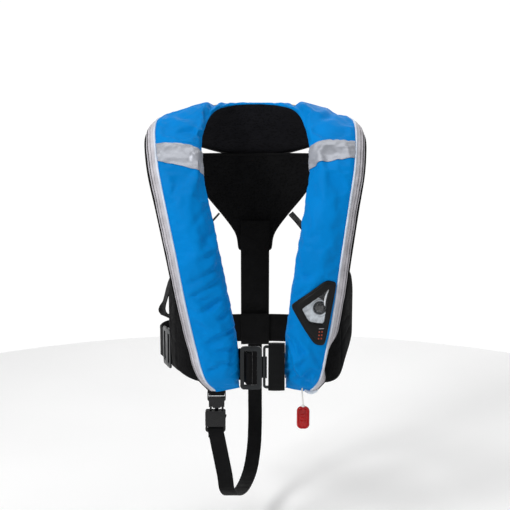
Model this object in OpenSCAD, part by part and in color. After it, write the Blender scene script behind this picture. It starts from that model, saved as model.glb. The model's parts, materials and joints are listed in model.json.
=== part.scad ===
// Inflatable life jacket: a packed horseshoe collar with two front lobes, a gas inflator
// behind a clear window, a waist belt with a hook buckle, and a crotch strap.
// +X is the wearer's left, -Y the wearer's front, +Z up. The origin is the centre of the
// neck opening, level with the tops of the shoulders.

/* [Pack] */
// Thickness of the packed lobes at the chest
pack_t = 40; // [39:0.5:42]
// Thickness of the cover cloth with its coating
cover_t = 1.6; // [1.2:0.1:1.8]
// Thickness of the black lining
lining_t = 2; // [1.6:0.1:2.2]
// How far the closed front hangs towards the wearer's left at the belt
hang_x = 12; // [10:1:14]

/* [Webbing] */
// Width of the waist belt
belt_w = 50; // [46:1:50]
// Thickness of the waist belt
belt_t = 2.4; // [1.8:0.1:2.6]
// Width of the crotch strap
crotch_w = 25; // [20:1:25]

/* [Inflator] */
// Outer radius of the gas cylinder
gas_r = 12; // [11:0.5:12]
// Length of the gas cylinder's straight body
gas_len = 92; // [70:1:94]
// Radius of the lever pin
pin_r = 1.5; // [1.2:0.1:1.5]

/* [Buckle] */
// Height of the buckle frame
buckle_h = 68; // [66:1:70]
// Thickness of the buckle frame
buckle_t = 5; // [4:0.5:5]

/* [Hidden] */
$fn = 40;

// Stations from the bottom of a front lobe over the shoulder to the nape, on the +X side.
// OUTER and INNER are the two edges of the pack where it lies on the body.
OUTER = [[82, -104, -386], [100, -107, -356], [113, -109, -306], [126, -109, -240],
    [138, -104, -172], [151, -88, -108], [163, -62, -62], [170, -28, -30], [172, 8, -10],
    [167, 46, -3], [150, 82, -6], [104, 108, -20], [52, 120, -34], [0, 124, -40]];
INNER = [[36, -110, -376], [33, -113, -340], [37, -114, -288], [46, -113, -232],
    [58, -106, -160], [71, -90, -98], [80, -66, -56], [83, -36, -26], [80, -6, 0],
    [73, 26, 22], [59, 53, 39], [38, 71, 48], [18, 79, 52], [0, 81, 53]];
THICK = [0.25, 0.85, 0.95, 1, 1, 0.95, 0.9, 0.85, 0.84, 0.84, 0.84, 0.84, 0.84, 0.84] * pack_t;
NAPE = len(OUTER) - 1;
// Path value where the lobe covers are sewn to the collar cover
SEAM = 7;
// Path values of the cross-sections of a lobe and of the collar
LOBE_STEPS = [0, 0.12, 0.3, 0.6, 0.8, 1, 1.25, 1.5, 1.75, 2, 2.25, 2.5, 3, 3.5, 4, 4.5, 5, 5.5, 6, 6.5,
    SEAM - 0.02];
COLLAR_STEPS = [for (i = [0:12]) SEAM + i / 2];
LEAN_DROP = 380;
// Height of the pack's widest line, as a share of its thickness
WIDEST = 0.36;
// How far the right lobe's outer rim is drawn in above the belt, as a share of its width
PINCH = 0.65;
PINCH_FROM = 0.6;

// Angles round the pack's cross-section: 0 the outer edge, 90 the crown, 180 the inner edge
// and 270 the lining on the body
LOWER_TAPE = [2, 12, 21.5];
TEETH = [22, 25.5];
UPPER_TAPE = [26, 38, 49.5];
PIPING = [50, 54];
COVER_A = [54.5, 66, 78, 90, 102, 114, 126, 139, 152, 166, 182, 200];
LINING_A = [202, 214, 228, 244, 262, 280, 298, 316, 334, 350, 359];

function unit(v) = v / norm(v);
function total(list) = [for (v = list) 1] * list;
function signed_power(x, e) = sign(x) * pow(abs(x), e);
function across(p) = is_list(p) ? [-p[0], p[1], p[2]] : p;

// Catmull-Rom curve through a list of points or numbers
function curve(a, b, c, d, t) =
    0.5 * (2 * b + t * (c - a) + t * t * (2 * a - 5 * b + 4 * c - d) + t * t * t * (3 * b - a - 3 * c + d));
function on_stations(list, u) = let (i = min(floor(u), NAPE - 1))
    curve(i == 0 ? 2 * list[0] - list[1] : list[i - 1], list[i], list[i + 1],
        i + 2 > NAPE ? across(list[NAPE - 1]) : list[i + 2], u - i);
function smooth(list, k) = let (n = len(list)) [
    for (i = [0:n - 2]) for (j = [0:k - 1])
        curve(i == 0 ? 2 * list[0] - list[1] : list[i - 1], list[i], list[i + 1],
            i + 2 == n ? 2 * list[n - 1] - list[n - 2] : list[i + 2], j / k),
    list[n - 1]];

// The pack's local axes at path value u: middle, direction from outer to inner edge, outward
// normal, half width, thickness, direction along the pack and how far its rim is drawn in
function hang(p, side) = [side * p[0] + hang_x * max(0, -p[2]) / LEAN_DROP, p[1], p[2]];
function ramp(a, b, u) = let (t = min(max((u - a) / (b - a), 0), 1)) t * t * (3 - 2 * t);
function pinch(u, side) = side > 0 ? PINCH * ramp(0.7, 1.3, u) * (1 - ramp(1.8, 2.4, u)) : 0;
function drawn_in(x, k) = x - k * max(0, x - PINCH_FROM);
function station(u, side) = let (
    o = hang(on_stations(OUTER, u), side), i = hang(on_stations(INNER, u), side),
    u1 = max(u - 0.01, 0), u2 = min(u + 0.01, NAPE),
    along = hang(on_stations(OUTER, u2), side) + hang(on_stations(INNER, u2), side)
        - hang(on_stations(OUTER, u1), side) - hang(on_stations(INNER, u1), side),
    s = unit(i - o))
    [(o + i) / 2, s, side * unit(cross(along, s)), norm(i - o) / 2, on_stations(THICK, u), unit(along),
        pinch(u, side)];
// A point of the cross-section at angle a, at depth d below the pack's surface
function section(k, a, d) = let (n0 = WIDEST * k[4],
    x = -(k[3] - d) * drawn_in(signed_power(cos(a), 0.9), k[6]),
    h = sin(a) >= 0 ? n0 + (k[4] - n0 - d) * pow(sin(a), 0.9) : n0 - (n0 - d) * pow(-sin(a), 0.6))
    k[0] + k[1] * x + k[2] * h;
function skin(u, side, a, d) = section(station(u, side), a, d);
// Cross-section of a layer between two depths, over a list of angles
function layer(angles, d_out, d_in) = concat([for (a = angles) [a, d_out]],
    [for (i = [len(angles) - 1:-1:0]) [angles[i], d_in]]);
function ring(u, side, outline) = let (k = station(u, side)) [for (q = outline) section(k, q[0], q[1])];
// Path values from one lobe's bottom round the neck to the other's, as [u, side]
function one_side(steps, side) = [for (u = steps) [u, side]];
function reversed(list) = [for (i = [len(list) - 1:-1:0]) list[i]];
ROUND_NECK = concat(one_side(COLLAR_STEPS, 1), reversed(one_side([for (i = [0:11]) SEAM + i / 2], -1)));
ALL_ROUND = concat(one_side(LOBE_STEPS, 1), ROUND_NECK, reversed(one_side(LOBE_STEPS, -1)));

// One closed solid through a list of rings of equal, even length. The ends are closed in strips
// from side to side, because the end of a thin curved layer isn't flat.
module sweep(rings, closed = false) {
    m = len(rings[0]);
    n = len(rings);
    points = [for (r = rings) each r];
    walls = [for (i = [0:closed ? n - 1 : n - 2]) for (j = [0:m - 1])
        let (a = i * m, b = (i + 1) % n * m, j2 = (j + 1) % m)
        each [[a + j, a + j2, b + j2], [a + j, b + j2, b + j]]];
    strip = [for (j = [0:m / 2 - 2]) each [[j, j + 1, m - 2 - j], [j, m - 2 - j, m - 1 - j]]];
    ends = closed ? [] : concat([for (f = strip) reversed(f)],
        [for (f = strip) [for (v = f) (n - 1) * m + v]]);
    faces = concat(walls, ends);
    volume = total([for (f = faces) points[f[0]] * cross(points[f[1]], points[f[2]])]);
    polyhedron(points, volume < 0 ? faces : [for (f = faces) reversed(f)], convexity = 8);
}
module pack_layer(places, outline) sweep([for (p = places) ring(p[0], p[1], outline)]);

// A flat strap of width w and thickness t along a path, lying with its width along wide
function tangent(path, i) = unit(path[min(i + 1, len(path) - 1)] - path[max(i - 1, 0)]);
function strap_ring(p, tan, wide, w, t) = let (
    x = unit(wide - tan * (wide * tan)), n = unit(cross(tan, x)))
    [for (q = [[1, 1], [-1, 1], [-1, -1], [1, -1]]) p + q[0] * x * w / 2 + q[1] * n * t / 2];
module strap(path, wide, w, t)
    sweep([for (i = [0:len(path) - 1]) strap_ring(path[i], tangent(path, i), wide, w, t)]);
// A round cord of radius r along a path
module cord(path, r, sides) sweep([for (i = [0:len(path) - 1])
    let (t = tangent(path, i), x = unit(cross(t, [0.3, 1, 0.1])), y = cross(t, x))
    [for (j = [0:sides - 1]) path[i] + r * (cos(360 * j / sides) * x + sin(360 * j / sides) * y)]]);
// Outline of a rectangle with round corners, centred
function round_rect(w, h, r) = [for (c = [[1, 1, 0], [-1, 1, 90], [-1, -1, 180], [1, -1, 270]])
    for (a = [0:22.5:90]) [c[0] * (w / 2 - r) + r * cos(c[2] + a), c[1] * (h / 2 - r) + r * sin(c[2] + a)]];
// A flat piece in the XZ plane, centred on y = 0
module upright(t) rotate([90, 0, 0]) linear_extrude(t, center = true) children();
module turned_y(points) rotate([90, 0, 0]) rotate_extrude() polygon(points);

// ---- Cover, lining and zip ----
module left_lobe_cover() color("#0A86D6")
    pack_layer(one_side(LOBE_STEPS, -1), layer(COVER_A, 0, cover_t));
module right_lobe_cover() color("#0A86D6") difference() {
    pack_layer(one_side(LOBE_STEPS, 1), layer(COVER_A, 0, cover_t));
    translate([0, -145, 0]) upright(40) offset(delta = 4) polygon(WINDOW_INNER);
    cord_line() cylinder(r = GROMMET_R, h = 12, center = true, $fn = 24);
}
module collar_cover() color("#0A86D6") pack_layer(ROUND_NECK, layer(COVER_A, 0, cover_t));
// The lining is a padded sheet that stands out past the zip along the outer edge
RIM = 3;
function rim(a) = RIM * min(1, max(0, a - 315) / 30);
LINING = concat([for (a = LINING_A) [a, -rim(a)]], [for (a = reversed(LINING_A)) [a, lining_t]]);
module left_lobe_lining() color("#15161A") pack_layer(one_side(LOBE_STEPS, -1), LINING);
module right_lobe_lining() color("#15161A") pack_layer(one_side(LOBE_STEPS, 1), LINING);
module collar_lining() color("#15161A") pack_layer(ROUND_NECK, LINING);
module edge_piping() color("#E4E8EE") pack_layer(ALL_ROUND, layer(PIPING, -1.2, cover_t));
module zip_upper_tape() color("#A9A6AA") pack_layer(ALL_ROUND, layer(UPPER_TAPE, 0, 1.2));
module zip_lower_tape() color("#B4B1B4") pack_layer(ALL_ROUND, layer(LOWER_TAPE, 0, 1.2));
module zip_teeth() color("#6E6C70") pack_layer(ALL_ROUND, layer(TEETH, -0.4, 1.4));
// Path values of a band's lower and upper edge at the outer edge of the lobe, then at the inner
LEFT_BAND = [6.26, 7, 5.95, 6.86];
RIGHT_BAND = [6.36, 7.12, 6.12, 7.06];
function band_u(list, t, a) = let (q = min(1, (a - 54.5) / 90))
    between(between(list[0], list[1], t), between(list[2], list[3], t), q);
module reflective_band(side, list) color("#C8C3C3") sweep([for (t = [0:0.125:1])
    [for (q = layer(COVER_A, -1.25, -0.45)) skin(band_u(list, t, q[0]), side, q[0], q[1])]]);
module left_reflective_band() reflective_band(-1, LEFT_BAND);
module right_reflective_band() reflective_band(1, RIGHT_BAND);

// The zip slider is parked on the teeth behind the neck
SLIDER_U = 12.5;
SLIDER_A = 23.75;
function place(origin, x, y, z) = [[x[0], y[0], z[0], origin[0]], [x[1], y[1], z[1], origin[1]],
    [x[2], y[2], z[2], origin[2]]];
module on_slider() {
    along = unit(skin(SLIDER_U + 0.2, 1, SLIDER_A, 0) - skin(SLIDER_U - 0.2, 1, SLIDER_A, 0));
    round_way = skin(SLIDER_U, 1, SLIDER_A + 4, 0) - skin(SLIDER_U, 1, SLIDER_A - 4, 0);
    out = unit(cross(along, round_way));
    multmatrix(place(skin(SLIDER_U, 1, SLIDER_A, 0), cross(out, along), out, along)) children();
}
module zip_slider() color("#55565A") on_slider() {
    translate([0, 3.4, 0]) upright(2.6) polygon(round_rect(9, 13, 3));
    difference() {
        translate([0, 6.5, 2]) rotate([0, 90, 0]) cylinder(r = 2.2, h = 3.4, center = true);
        translate([0, 6.5, 2]) rotate([0, 90, 0]) cylinder(r = 1.1, h = 5, center = true);
    }
}
module zip_pull_tab() color("#8B8C90") on_slider() translate([0, 6.5, 2]) {
    rotate([0, 90, 0]) cylinder(r = 0.8, h = 6.8, center = true);
    for (s = [-1, 1]) translate([s * 2.8, 0, -2.5]) cube([1.2, 1.4, 5], center = true);
    translate([0, 0, -15]) upright(1.4) polygon(round_rect(7, 20, 2));
}
module zip_end_stops() color("#55565A") for (side = [-1, 1])
    sweep([for (u = [0.02, 0.1]) ring(u, side, layer([20.5, 23.75, 27], -1.6, -0.9))]);

// ---- Bladder: a flat folded tube round the neck, thin behind the inflator ----
BLADDER_X = [-0.75, -0.5, 0, 0.5, 0.75];
BLADDER_LOW = [6, 4.4, 3, 4.4, 6];
// The thin part keeps clear of the gas cylinder
THIN_X = [-0.75, -0.5, -0.25, 0, 0.2];
THIN_LOW = [6, 4.4, 3.4, 3, 3.2];
THIN = 1.2;
FOLDED = 13;
BLADDER_STEPS = [0.9, 1.5, 2, 2.5, 3, 3.5, 4, 4.5, 5, 5.5, 6, 6.5, 7, 7.5, 8, 8.5, 9, 9.5, 10, 10.5,
    11, 11.5, 12, 12.5];
function bladder_ring(u, side) = let (k = station(u, side), thin = side > 0 && u < 5,
    t = thin ? THIN : FOLDED, x = thin ? THIN_X : BLADDER_X, low = thin ? THIN_LOW : BLADDER_LOW)
    concat([for (i = [0:4]) k[0] - k[1] * drawn_in(-x[i], k[6]) * k[3] + k[2] * low[i]],
        [for (i = [4:-1:0]) k[0] - k[1] * drawn_in(-x[i], k[6]) * k[3] + k[2] * (low[i] + t)]);
module bladder() color("#E8C22A") sweep([
    for (u = BLADDER_STEPS) bladder_ring(u, 1),
    bladder_ring(NAPE, 1),
    for (u = reversed(BLADDER_STEPS)) bladder_ring(u, -1)]);

// ---- Window over the inflator ----
// Outlines in x and z, clockwise from the top; both lists run in step
WINDOW_OUTER = [[106, -202], [122.5, -205.5], [114.3, -252], [105.5, -303], [90, -300], [72, -272],
    [56.5, -245], [57, -239.5], [80, -221]];
WINDOW_INNER = [[108.5, -216], [110.5, -216], [107.5, -241], [103.5, -268.5], [94, -267.5],
    [81, -264.5], [71, -247], [71.5, -244], [90, -231]];
// Height of the pack's outer surface over the XZ plane near the window
MID_Z = [-297, -236, -166];
function u_at(z) = 2 + (z < MID_Z[1] ? (z - MID_Z[0]) / (MID_Z[1] - MID_Z[0])
    : 1 + (z - MID_Z[1]) / (MID_Z[2] - MID_Z[1]));
function over_cover(p, d) = let (
    k0 = station(u_at(p[1]), 1), x0 = (p[0] - k0[0][0] - k0[2][0] * 38) / k0[1][0],
    k = station(u_at(p[1] - k0[1][2] * x0 - k0[2][2] * 38), 1), x = (p[0] - k[0][0] - k[2][0] * 38) / k[1][0],
    c = min(1, pow(abs(x) / k[3], 1 / 0.9)), n0 = WIDEST * k[4],
    h = n0 + (k[4] - n0) * pow(1 - c * c, 0.45) - d)
    k[0] + k[1] * x + k[2] * h;
function between(p, q, t) = p + (q - p) * t;
function around(list) = [for (i = [0:len(list) - 1]) for (t = [0:0.25:0.75])
    between(list[i], list[(i + 1) % len(list)], t)];
module window_frame() color("#17181A") {
    outer = around(WINDOW_OUTER);
    inner = around(WINDOW_INNER);
    sweep([for (i = [0:len(outer) - 1]) concat(
        [for (t = [0, 0.33, 0.67, 1]) over_cover(between(outer[i], inner[i], t), -0.9)],
        [for (t = [1, 0.67, 0.33, 0]) over_cover(between(outer[i], inner[i], t), -3.2)])], true);
}
PANE_T = 1;
module window_pane() color("#DDE6EE", 0.5)
    translate([0, -152.6, -242]) rotate([-2, 0, 0]) translate([0, 0, 242])
        upright(PANE_T) offset(delta = -1) polygon(WINDOW_INNER);

// ---- Inflator: its own axes lean with the lobe; y = 0 is its middle plane ----
INFLATOR = [97.4, -131, -246];
INFLATOR_TURN = [-5, 7.5, 0];
module at_inflator() translate(INFLATOR) rotate(INFLATOR_TURN) children();
HEAD_R = 13;
GAS_X = -26.5;
LEVER_X = -20.5;
LEVER_Z = -50;
LEVER_T = 6;
PIERCER_R = 1.7;
module inflator_body() color("#202226") at_inflator() difference() {
    union() {
        rotate([90, 0, 0]) cylinder(r = HEAD_R, h = 17, center = true);
        translate([GAS_X / 2 + 4, 0, -31]) cube([8 - GAS_X, 17, 22], center = true);
        translate([GAS_X, 0, -42]) cylinder(r = 8.6, h = 26);
        for (s = [-1, 1]) translate([LEVER_X, s * 5.2, 0]) {
            translate([0, 0, -45]) cube([8, 3, 10], center = true);
            translate([0, 0, LEVER_Z]) rotate([90, 0, 0]) cylinder(r = 4, h = 3, center = true);
        }
    }
    translate([0, -9, 0]) rotate([-90, 0, 0]) cylinder(r = 8.2, h = 10);
    translate([0, 9, 0]) rotate([90, 0, 0]) cylinder(r = 6.1, h = 6);
    translate([GAS_X, 0, -34]) cylinder(r = 6.6, h = 20);
    translate([GAS_X, 0, -45]) cylinder(r = PIERCER_R + 0.05, h = 15);
    translate([LEVER_X, 0, LEVER_Z]) rotate([90, 0, 0]) cylinder(r = pin_r + 0.02, h = 20, center = true);
}
module manifold() color("#3A3D42") at_inflator() rotate([-90, 0, 0]) {
    translate([0, 0, 3.4]) cylinder(r = 6, h = 6);
    translate([0, 0, 9.4]) cylinder(r = 13, h = 2.4);
}
module manifold_gasket() color("#101010") at_inflator() rotate([-90, 0, 0]) translate([0, 0, 8.55])
    difference() {
        cylinder(r = 10.5, h = 0.8);
        translate([0, 0, -1]) cylinder(r = 6.2, h = 3);
    }
module sensor_cartridge() color("#E8E8E2") at_inflator() rotate([90, 0, 0]) {
    cylinder(r = 8, h = 7.6);
    translate([0, 0, 7.6]) cylinder(r = 5, h = 2);
}
// A domed cap with a skirt, turned about the y axis
CAP_R = 9.6;
module sensor_cap() color("#0B0B0D") at_inflator() turned_y(concat(
    [[0, 11], [CAP_R - 1.8, 11], [CAP_R - 1.8, 8.8], [CAP_R, 8.8], [CAP_R, 13]],
    [for (a = [10:10:90]) [(CAP_R - 0.6) * cos(a), 13 + 6 * sin(a)]]));
module piercing_pin() color("#B9BDC2") at_inflator() translate([GAS_X, 0, LEVER_Z + 2.7]) {
    cylinder(r = PIERCER_R, h = 12.3);
    translate([0, 0, 12.3]) cylinder(r1 = PIERCER_R, r2 = 0.3, h = 2);
}
module firing_lever() color("#C8CCD0") at_inflator() translate([LEVER_X, 0, LEVER_Z]) difference() {
    union() {
        rotate([90, 0, 0]) cylinder(r = 2.8, h = LEVER_T, center = true);
        translate([-6, 0, 0]) rotate([90, 0, 0]) cylinder(r = 2, h = LEVER_T, center = true);
        translate([-3, 0, 0]) cube([6, LEVER_T, 3.4], center = true);
        translate([9, 0, -0.4]) cube([18, LEVER_T, 3.2], center = true);
    }
    rotate([90, 0, 0]) cylinder(r = pin_r + 0.08, h = 10, center = true);
}
module lever_pin() color("#9A9DA2") at_inflator() translate([LEVER_X, 0, LEVER_Z]) rotate([90, 0, 0])
    cylinder(r = pin_r, h = 14, center = true);
module lever_clip() color("#3FA34D") at_inflator() translate([LEVER_X + 12, 0, LEVER_Z + 1.9])
    cube([5, 8, 1.2], center = true);
module gas_cylinder() color("#B8BCC0") at_inflator() translate([GAS_X, 0, 0]) rotate_extrude() polygon(concat(
    [[0, -24], [2.4, -24], [2.4, -31], [5.4, -31], [6.5, -30], [6.5, -15.5], [gas_r - 4, -14],
        [gas_r, -8], [gas_r, -8 + gas_len]],
    [for (a = [15:15:90]) [gas_r * cos(a), -8 + gas_len + 9 * sin(a)]]));

// ---- Pull cord and handle ----
CORD_R = 1.25;
GROMMET_R = 3;
CORD_EXIT = [74, -122, -373];
CORD_TOP = [86, -129, -298];
CORD_PATH = [CORD_TOP, [82, -126.7, -323], [78, -124.3, -348], CORD_EXIT, [73, -121.4, -379.5],
    [73.2, -121.2, -385], [74, -121, -395], [74.8, -121, -408]];
module cord_line() {
    z = unit(CORD_TOP - CORD_EXIT);
    x = unit(cross([0, 1, 0], z));
    multmatrix(place(CORD_EXIT, x, cross(z, x), z)) children();
}
module pull_cord() color("#F2F2EE") cord(smooth(CORD_PATH, 3), CORD_R, 8);
module cord_grommet() color("#2B2D31") cord_line() rotate_extrude()
    polygon([[1.9, -2.5], [2.7, -2.5], [2.7, 2.5], [1.9, 2.5]]);
HANDLE_TOP = -408;
HANDLE_H = 36;
module pull_handle() color("#D3141C") translate([75, -121, HANDLE_TOP - HANDLE_H / 2]) difference() {
    union() {
        upright(5) polygon(round_rect(20, HANDLE_H, 7));
        upright(8) polygon(round_rect(15, HANDLE_H - 8, 5));
    }
    translate([0, 0, HANDLE_H / 2 - 6]) cylinder(r = CORD_R + 0.35, h = 10);
}

// ---- Oral inflation tube and whistle, stowed in the -X lobe ----
ORAL = [-68, -138.5, -290];
ORAL_TURN = [-3, -11.3, 0];
module at_oral() translate(ORAL) rotate(ORAL_TURN) children();
module oral_tube() color("#1C1D20") at_oral() difference() {
    union() {
        cylinder(r = 6.5, h = 88);
        cylinder(r = 8.5, h = 2);
        translate([0, 0, 20]) cylinder(r = 7.2, h = 1.5);
    }
    translate([0, 0, 8]) cylinder(r = 5, h = 90);
}
module oral_valve() color("#D8D8D2") at_oral() {
    translate([0, 0, 80]) cylinder(r = 4.95, h = 6);
    translate([0, 0, 86]) cylinder(r = 2, h = 3.5);
}
module oral_cap() color("#B51F24") at_oral() difference() {
    translate([0, 0, 80]) cylinder(r = 8.1, h = 14);
    translate([0, 0, 79]) cylinder(r = 6.55, h = 12.5);
}
WHISTLE = [-58, -137, -330];
module whistle() color("#E06A1C") translate(WHISTLE) rotate([0, -11, 0]) difference() {
    upright(9) polygon(round_rect(16, 40, 4));
    translate([0, 0, 14]) cube([9, 12, 3], center = true);
}
module whistle_cord() color("#F2F2EE")
    cord(smooth([[-61.9, -137, -309.4], [-64, -138, -303], [-67, -138.6, -297], [-68, -138.5, -290.8]], 2),
        0.9, 8);

// ---- Waist belt and its pieces ----
BELT_Z = -342;
BELT_PATH = [[-30, -106.5], [-55, -103.8], [-80, -99.6], [-104, -90], [-121, -67],
    [-131.5, -42.4], [-139.1, -22.3], [-146.9, -1.7], [-155.2, 20.2], [-160, 38], [-150, 70],
    [-114, 98], [-62, 112], [0, 118],
    [62, 114], [108, 96], [132, 64], [141, 26], [142, -12], [137, -46], [128, -72], [115, -88],
    [98, -97.2], [75, -101.5], [47, -105.5]];
function at_z(list, z) = [for (p = list) [p[0], p[1], z]];
UP = [0, 0, 1];
SIDEWAYS = [1, 0, 0];
module waist_belt() color("#16171A") strap(smooth(at_z(BELT_PATH, BELT_Z), 2), UP, belt_w, belt_t);

BUCKLE_Y = -132;
BUCKLE_Z = -342.7;
SLOT_H = 54;
module buckle_at(x) translate([x, BUCKLE_Y, BUCKLE_Z]) children();
// Frame with a slot each side of its middle bar and an open hook bay on its right
module buckle_frame() color("#26282B") {
    buckle_at(-6) difference() {
        upright(buckle_t) polygon(round_rect(33.4, buckle_h, 6));
        translate([-8.1, 0, 0]) cube([5.1, 9, SLOT_H], center = true);
        translate([4.45, 0, 0]) cube([9.3, 9, SLOT_H], center = true);
    }
    translate([14.4, -127.9, BUCKLE_Z]) cube([7.8, 1.6, 34], center = true);
    translate([17.6, -129, BUCKLE_Z]) cube([1.4, 3.8, 34], center = true);
    translate([9.1, -128.3, BUCKLE_Z]) cube([3.2, 2.4, 34], center = true);
}
BUCKLE_LOOP = [[-36, -109.4], [-27, -111], [-20, -118], [-15.2, -126], [-14, -132], [-12.4, -136.4],
    [-9, -138], [-5.6, -136.6], [-4.4, -132], [-5.2, -127.2], [-10, -122], [-17, -114.4], [-25, -108.8]];
module buckle_webbing() color("#16171A") strap(smooth(at_z(BUCKLE_LOOP, BUCKLE_Z), 2), UP, belt_w, 1.5);
RING_Y = -131.5;
module buckle_ring() color("#2A2C30") translate([22.6, RING_Y, BUCKLE_Z + 1.4]) difference() {
    upright(4) polygon(round_rect(20.8, 68, 5));
    cube([12.8, 9, 60], center = true);
}
RING_LOOP = [[42.5, -134.4], [36, -134.6], [30, -134.6], [27.8, -133.6], [27.1, -131.5], [27.8, -129.4],
    [30, -128.4], [36, -128.4], [42.5, -128.6]];
module ring_webbing() color("#16171A") strap(smooth(at_z(RING_LOOP, BUCKLE_Z + 1.4), 2), UP, belt_w, 1.5);
module keeper_sleeve() color("#1B1C1F") translate([31.5, -131.5, BUCKLE_Z + 1.7]) rotate([0, 90, 0])
    linear_extrude(23, center = true) difference() {
        polygon(round_rect(76, 12, 4));
        polygon(round_rect(72, 8.4, 2.4));
    }

// Side panels of padded mesh: path in x and y, with the top and bottom height at each point
PANEL_T = 3;
LEFT_PANEL = [[-80, -103, -165, -371], [-90, -102.2, -170, -370], [-107, -94.6, -180, -365],
    [-122, -79, -190, -358], [-129.5, -62, -208, -350], [-132.5, -54, -222, -340], [-136.5, -44, -240, -300]];
RIGHT_PANEL = [[98, -101.6, -165, -371], [112, -100.4, -172, -373], [126, -94.5, -184, -370],
    [134, -87.4, -191, -362], [141, -78.4, -198, -342], [150.5, -58, -212, -321], [155, -40, -238, -311]];
function panel_ring(path, i) = let (
    tan = tangent([for (p = path) [p[0], p[1], 0]], i), n = cross(tan, UP) * PANEL_T / 2, p = path[i])
    [for (q = [[1, 2], [-1, 2], [-1, 3], [1, 3]]) [p[0], p[1], p[q[1]]] + q[0] * n];
module side_panel(path) color("#121316") sweep([for (i = [0:len(path) - 1]) panel_ring(path, i)]);
module left_side_panel() side_panel(smooth(LEFT_PANEL, 3));
module right_side_panel() side_panel(smooth(RIGHT_PANEL, 3));

// The adjuster slides on a straight stretch of the belt
ADJUSTER = [-143, -12, BELT_Z];
ADJUSTER_TURN = atan2(37, -14);
module belt_adjuster() color("#2E3033") translate(ADJUSTER) rotate([0, 0, ADJUSTER_TURN]) difference() {
    union() {
        translate([0, 1.9, 0]) upright(2.6) polygon(round_rect(42, 64, 5));
        translate([0, -1.6, 0]) upright(2.2) polygon(round_rect(12, 60, 2));
        for (s = [-1, 1]) translate([0, 0, s * 28.5]) cube([12, 5.4, 5], center = true);
    }
    for (x = [-11, 11]) translate([x, 0, 0]) cube([9, 12, 50], center = true);
    cube([60, belt_t + 0.8, belt_w + 1], center = true);
}

// ---- Back: mesh yoke under the collar, centre strap and two rear side straps ----
// Half width and depth of the yoke at each height
YOKE = [[-34, 116, 115.4], [-60, 110, 119], [-100, 86, 122], [-140, 54, 122], [-172, 32, 120],
    [-200, 27, 118]];
YOKE_BEND = 0.0011;
YOKE_T = 2.4;
YOKE_X = [-1, -0.75, -0.5, -0.25, 0, 0.25, 0.5, 0.75, 1];
function yoke_ring(p) = [for (y = [0, YOKE_T]) for (x = y == 0 ? YOKE_X : reversed(YOKE_X))
    [x * p[1], p[2] + y - YOKE_BEND * pow(x * p[1], 2), p[0]]];
module back_yoke() color("#1A1B1E") sweep([for (p = YOKE) yoke_ring(p)]);
BACK_PATH = [[0, 115.4, -150], [0, 115, -200], [0, 117.5, -260], [0, 121.4, -306], [0, 121.6, -340],
    [0, 121.4, -366], [0, 119.6, -371],
    [0, 115.6, -371.4], [0, 113.2, -366], [0, 113, -340], [0, 113, -316]];
module back_strap() color("#16171A") strap(smooth(BACK_PATH, 2), SIDEWAYS, belt_w, 1.6);
// The rear straps run from inside the belt up to the yoke; the -X one is twisted outwards
LEFT_REAR = [[-150, 34, -302], [-154, 22, -286], [-149, 24, -266], [-139, 52, -232], [-112, 88, -190],
    [-82, 107, -158], [-62, 112.4, -136]];
RIGHT_REAR = [[135, 34, -302], [141, 22, -286], [141, 24, -266], [134, 52, -232], [110, 88, -190],
    [82, 107, -158], [62, 112.4, -136]];
module left_rear_strap() color("#16171A") strap(smooth(LEFT_REAR, 2), [0.4, -0.85, 0.4], crotch_w, 1.6);
module right_rear_strap() color("#16171A") strap(smooth(RIGHT_REAR, 2), [0, 0.9, 0.4], crotch_w, 1.6);

// ---- Crotch strap with a side-release buckle ----
PLUG = [-60.6, -97, -388];
CROTCH_T = 1.6;
module at_plug() translate(PLUG) children();
TAB = [[0, 1.4, 46], [0, 0.4, 20], [0, -2.6, 7], [0, -4.2, 1], [0, -4.4, -5], [0, -3, -8.4], [0, 0, -9.4],
    [0, 3, -8.4], [0, 4.4, -5], [0, 4.2, 1], [0, 3.6, 8], [0, 3.4, 20], [0, 3.4, 40]];
module crotch_tab() color("#16171A") at_plug() strap(smooth(TAB, 2), SIDEWAYS, crotch_w, CROTCH_T);
HINGE_X = 9.2;
HINGE_Z = -27;
module plug_body() color("#1D1E21") at_plug() {
    difference() {
        union() {
            translate([0, 0, -9.5]) upright(6) polygon(round_rect(29, 19, 4));
            translate([0, 0, -22]) upright(6) polygon(round_rect(24.6, 16, 1.5));
        }
        translate([0, 0, -9]) cube([26, 9, 6], center = true);
        for (s = [-1, 1]) {
            translate([s * HINGE_X, 0, HINGE_Z]) rotate([90, 0, 0]) cylinder(r = 2.6, h = 12, center = true);
            translate([s * HINGE_X, 0, HINGE_Z - 4]) cube([6.4, 12, 5], center = true);
        }
    }
    translate([0, 0, -38]) upright(4) polygon(round_rect(6, 22, 2));
}
// Each prong swings on a round root and has a hook on its outer side
PRONG_OUTLINE = [[-1.6, 0], [1.6, 0], [2.2, -14], [6.2, -15], [6.2, -17], [2.4, -24.5],
    [-0.4, -24.5], [-1.4, -20]];
module plug_prong(side) color("#1D1E21") at_plug() translate([side * HINGE_X, 0, HINGE_Z]) {
    rotate([90, 0, 0]) cylinder(r = 2.3, h = 5, center = true);
    upright(5) polygon([for (p = PRONG_OUTLINE) [side * p[0], p[1]]]);
}
module plug_prong_left() plug_prong(-1);
module plug_prong_right() plug_prong(1);
SOCKET = [-62.6, -97, -422];
module crotch_socket() color("#202125") {
    translate(SOCKET) {
        for (s = [-1, 1]) translate([0, s * 4.6, -12]) upright(2) polygon(round_rect(32, 24, 2.5));
        difference() {
            translate([0, 0, -28.5]) upright(11.2) polygon(round_rect(32, 13, 5));
            translate([0, 0, -28.6]) cube([26, 14, 5], center = true);
        }
        translate([0, 0, -22.5]) upright(11.2) polygon(round_rect(32, 3, 0.5));
    }
}
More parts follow.
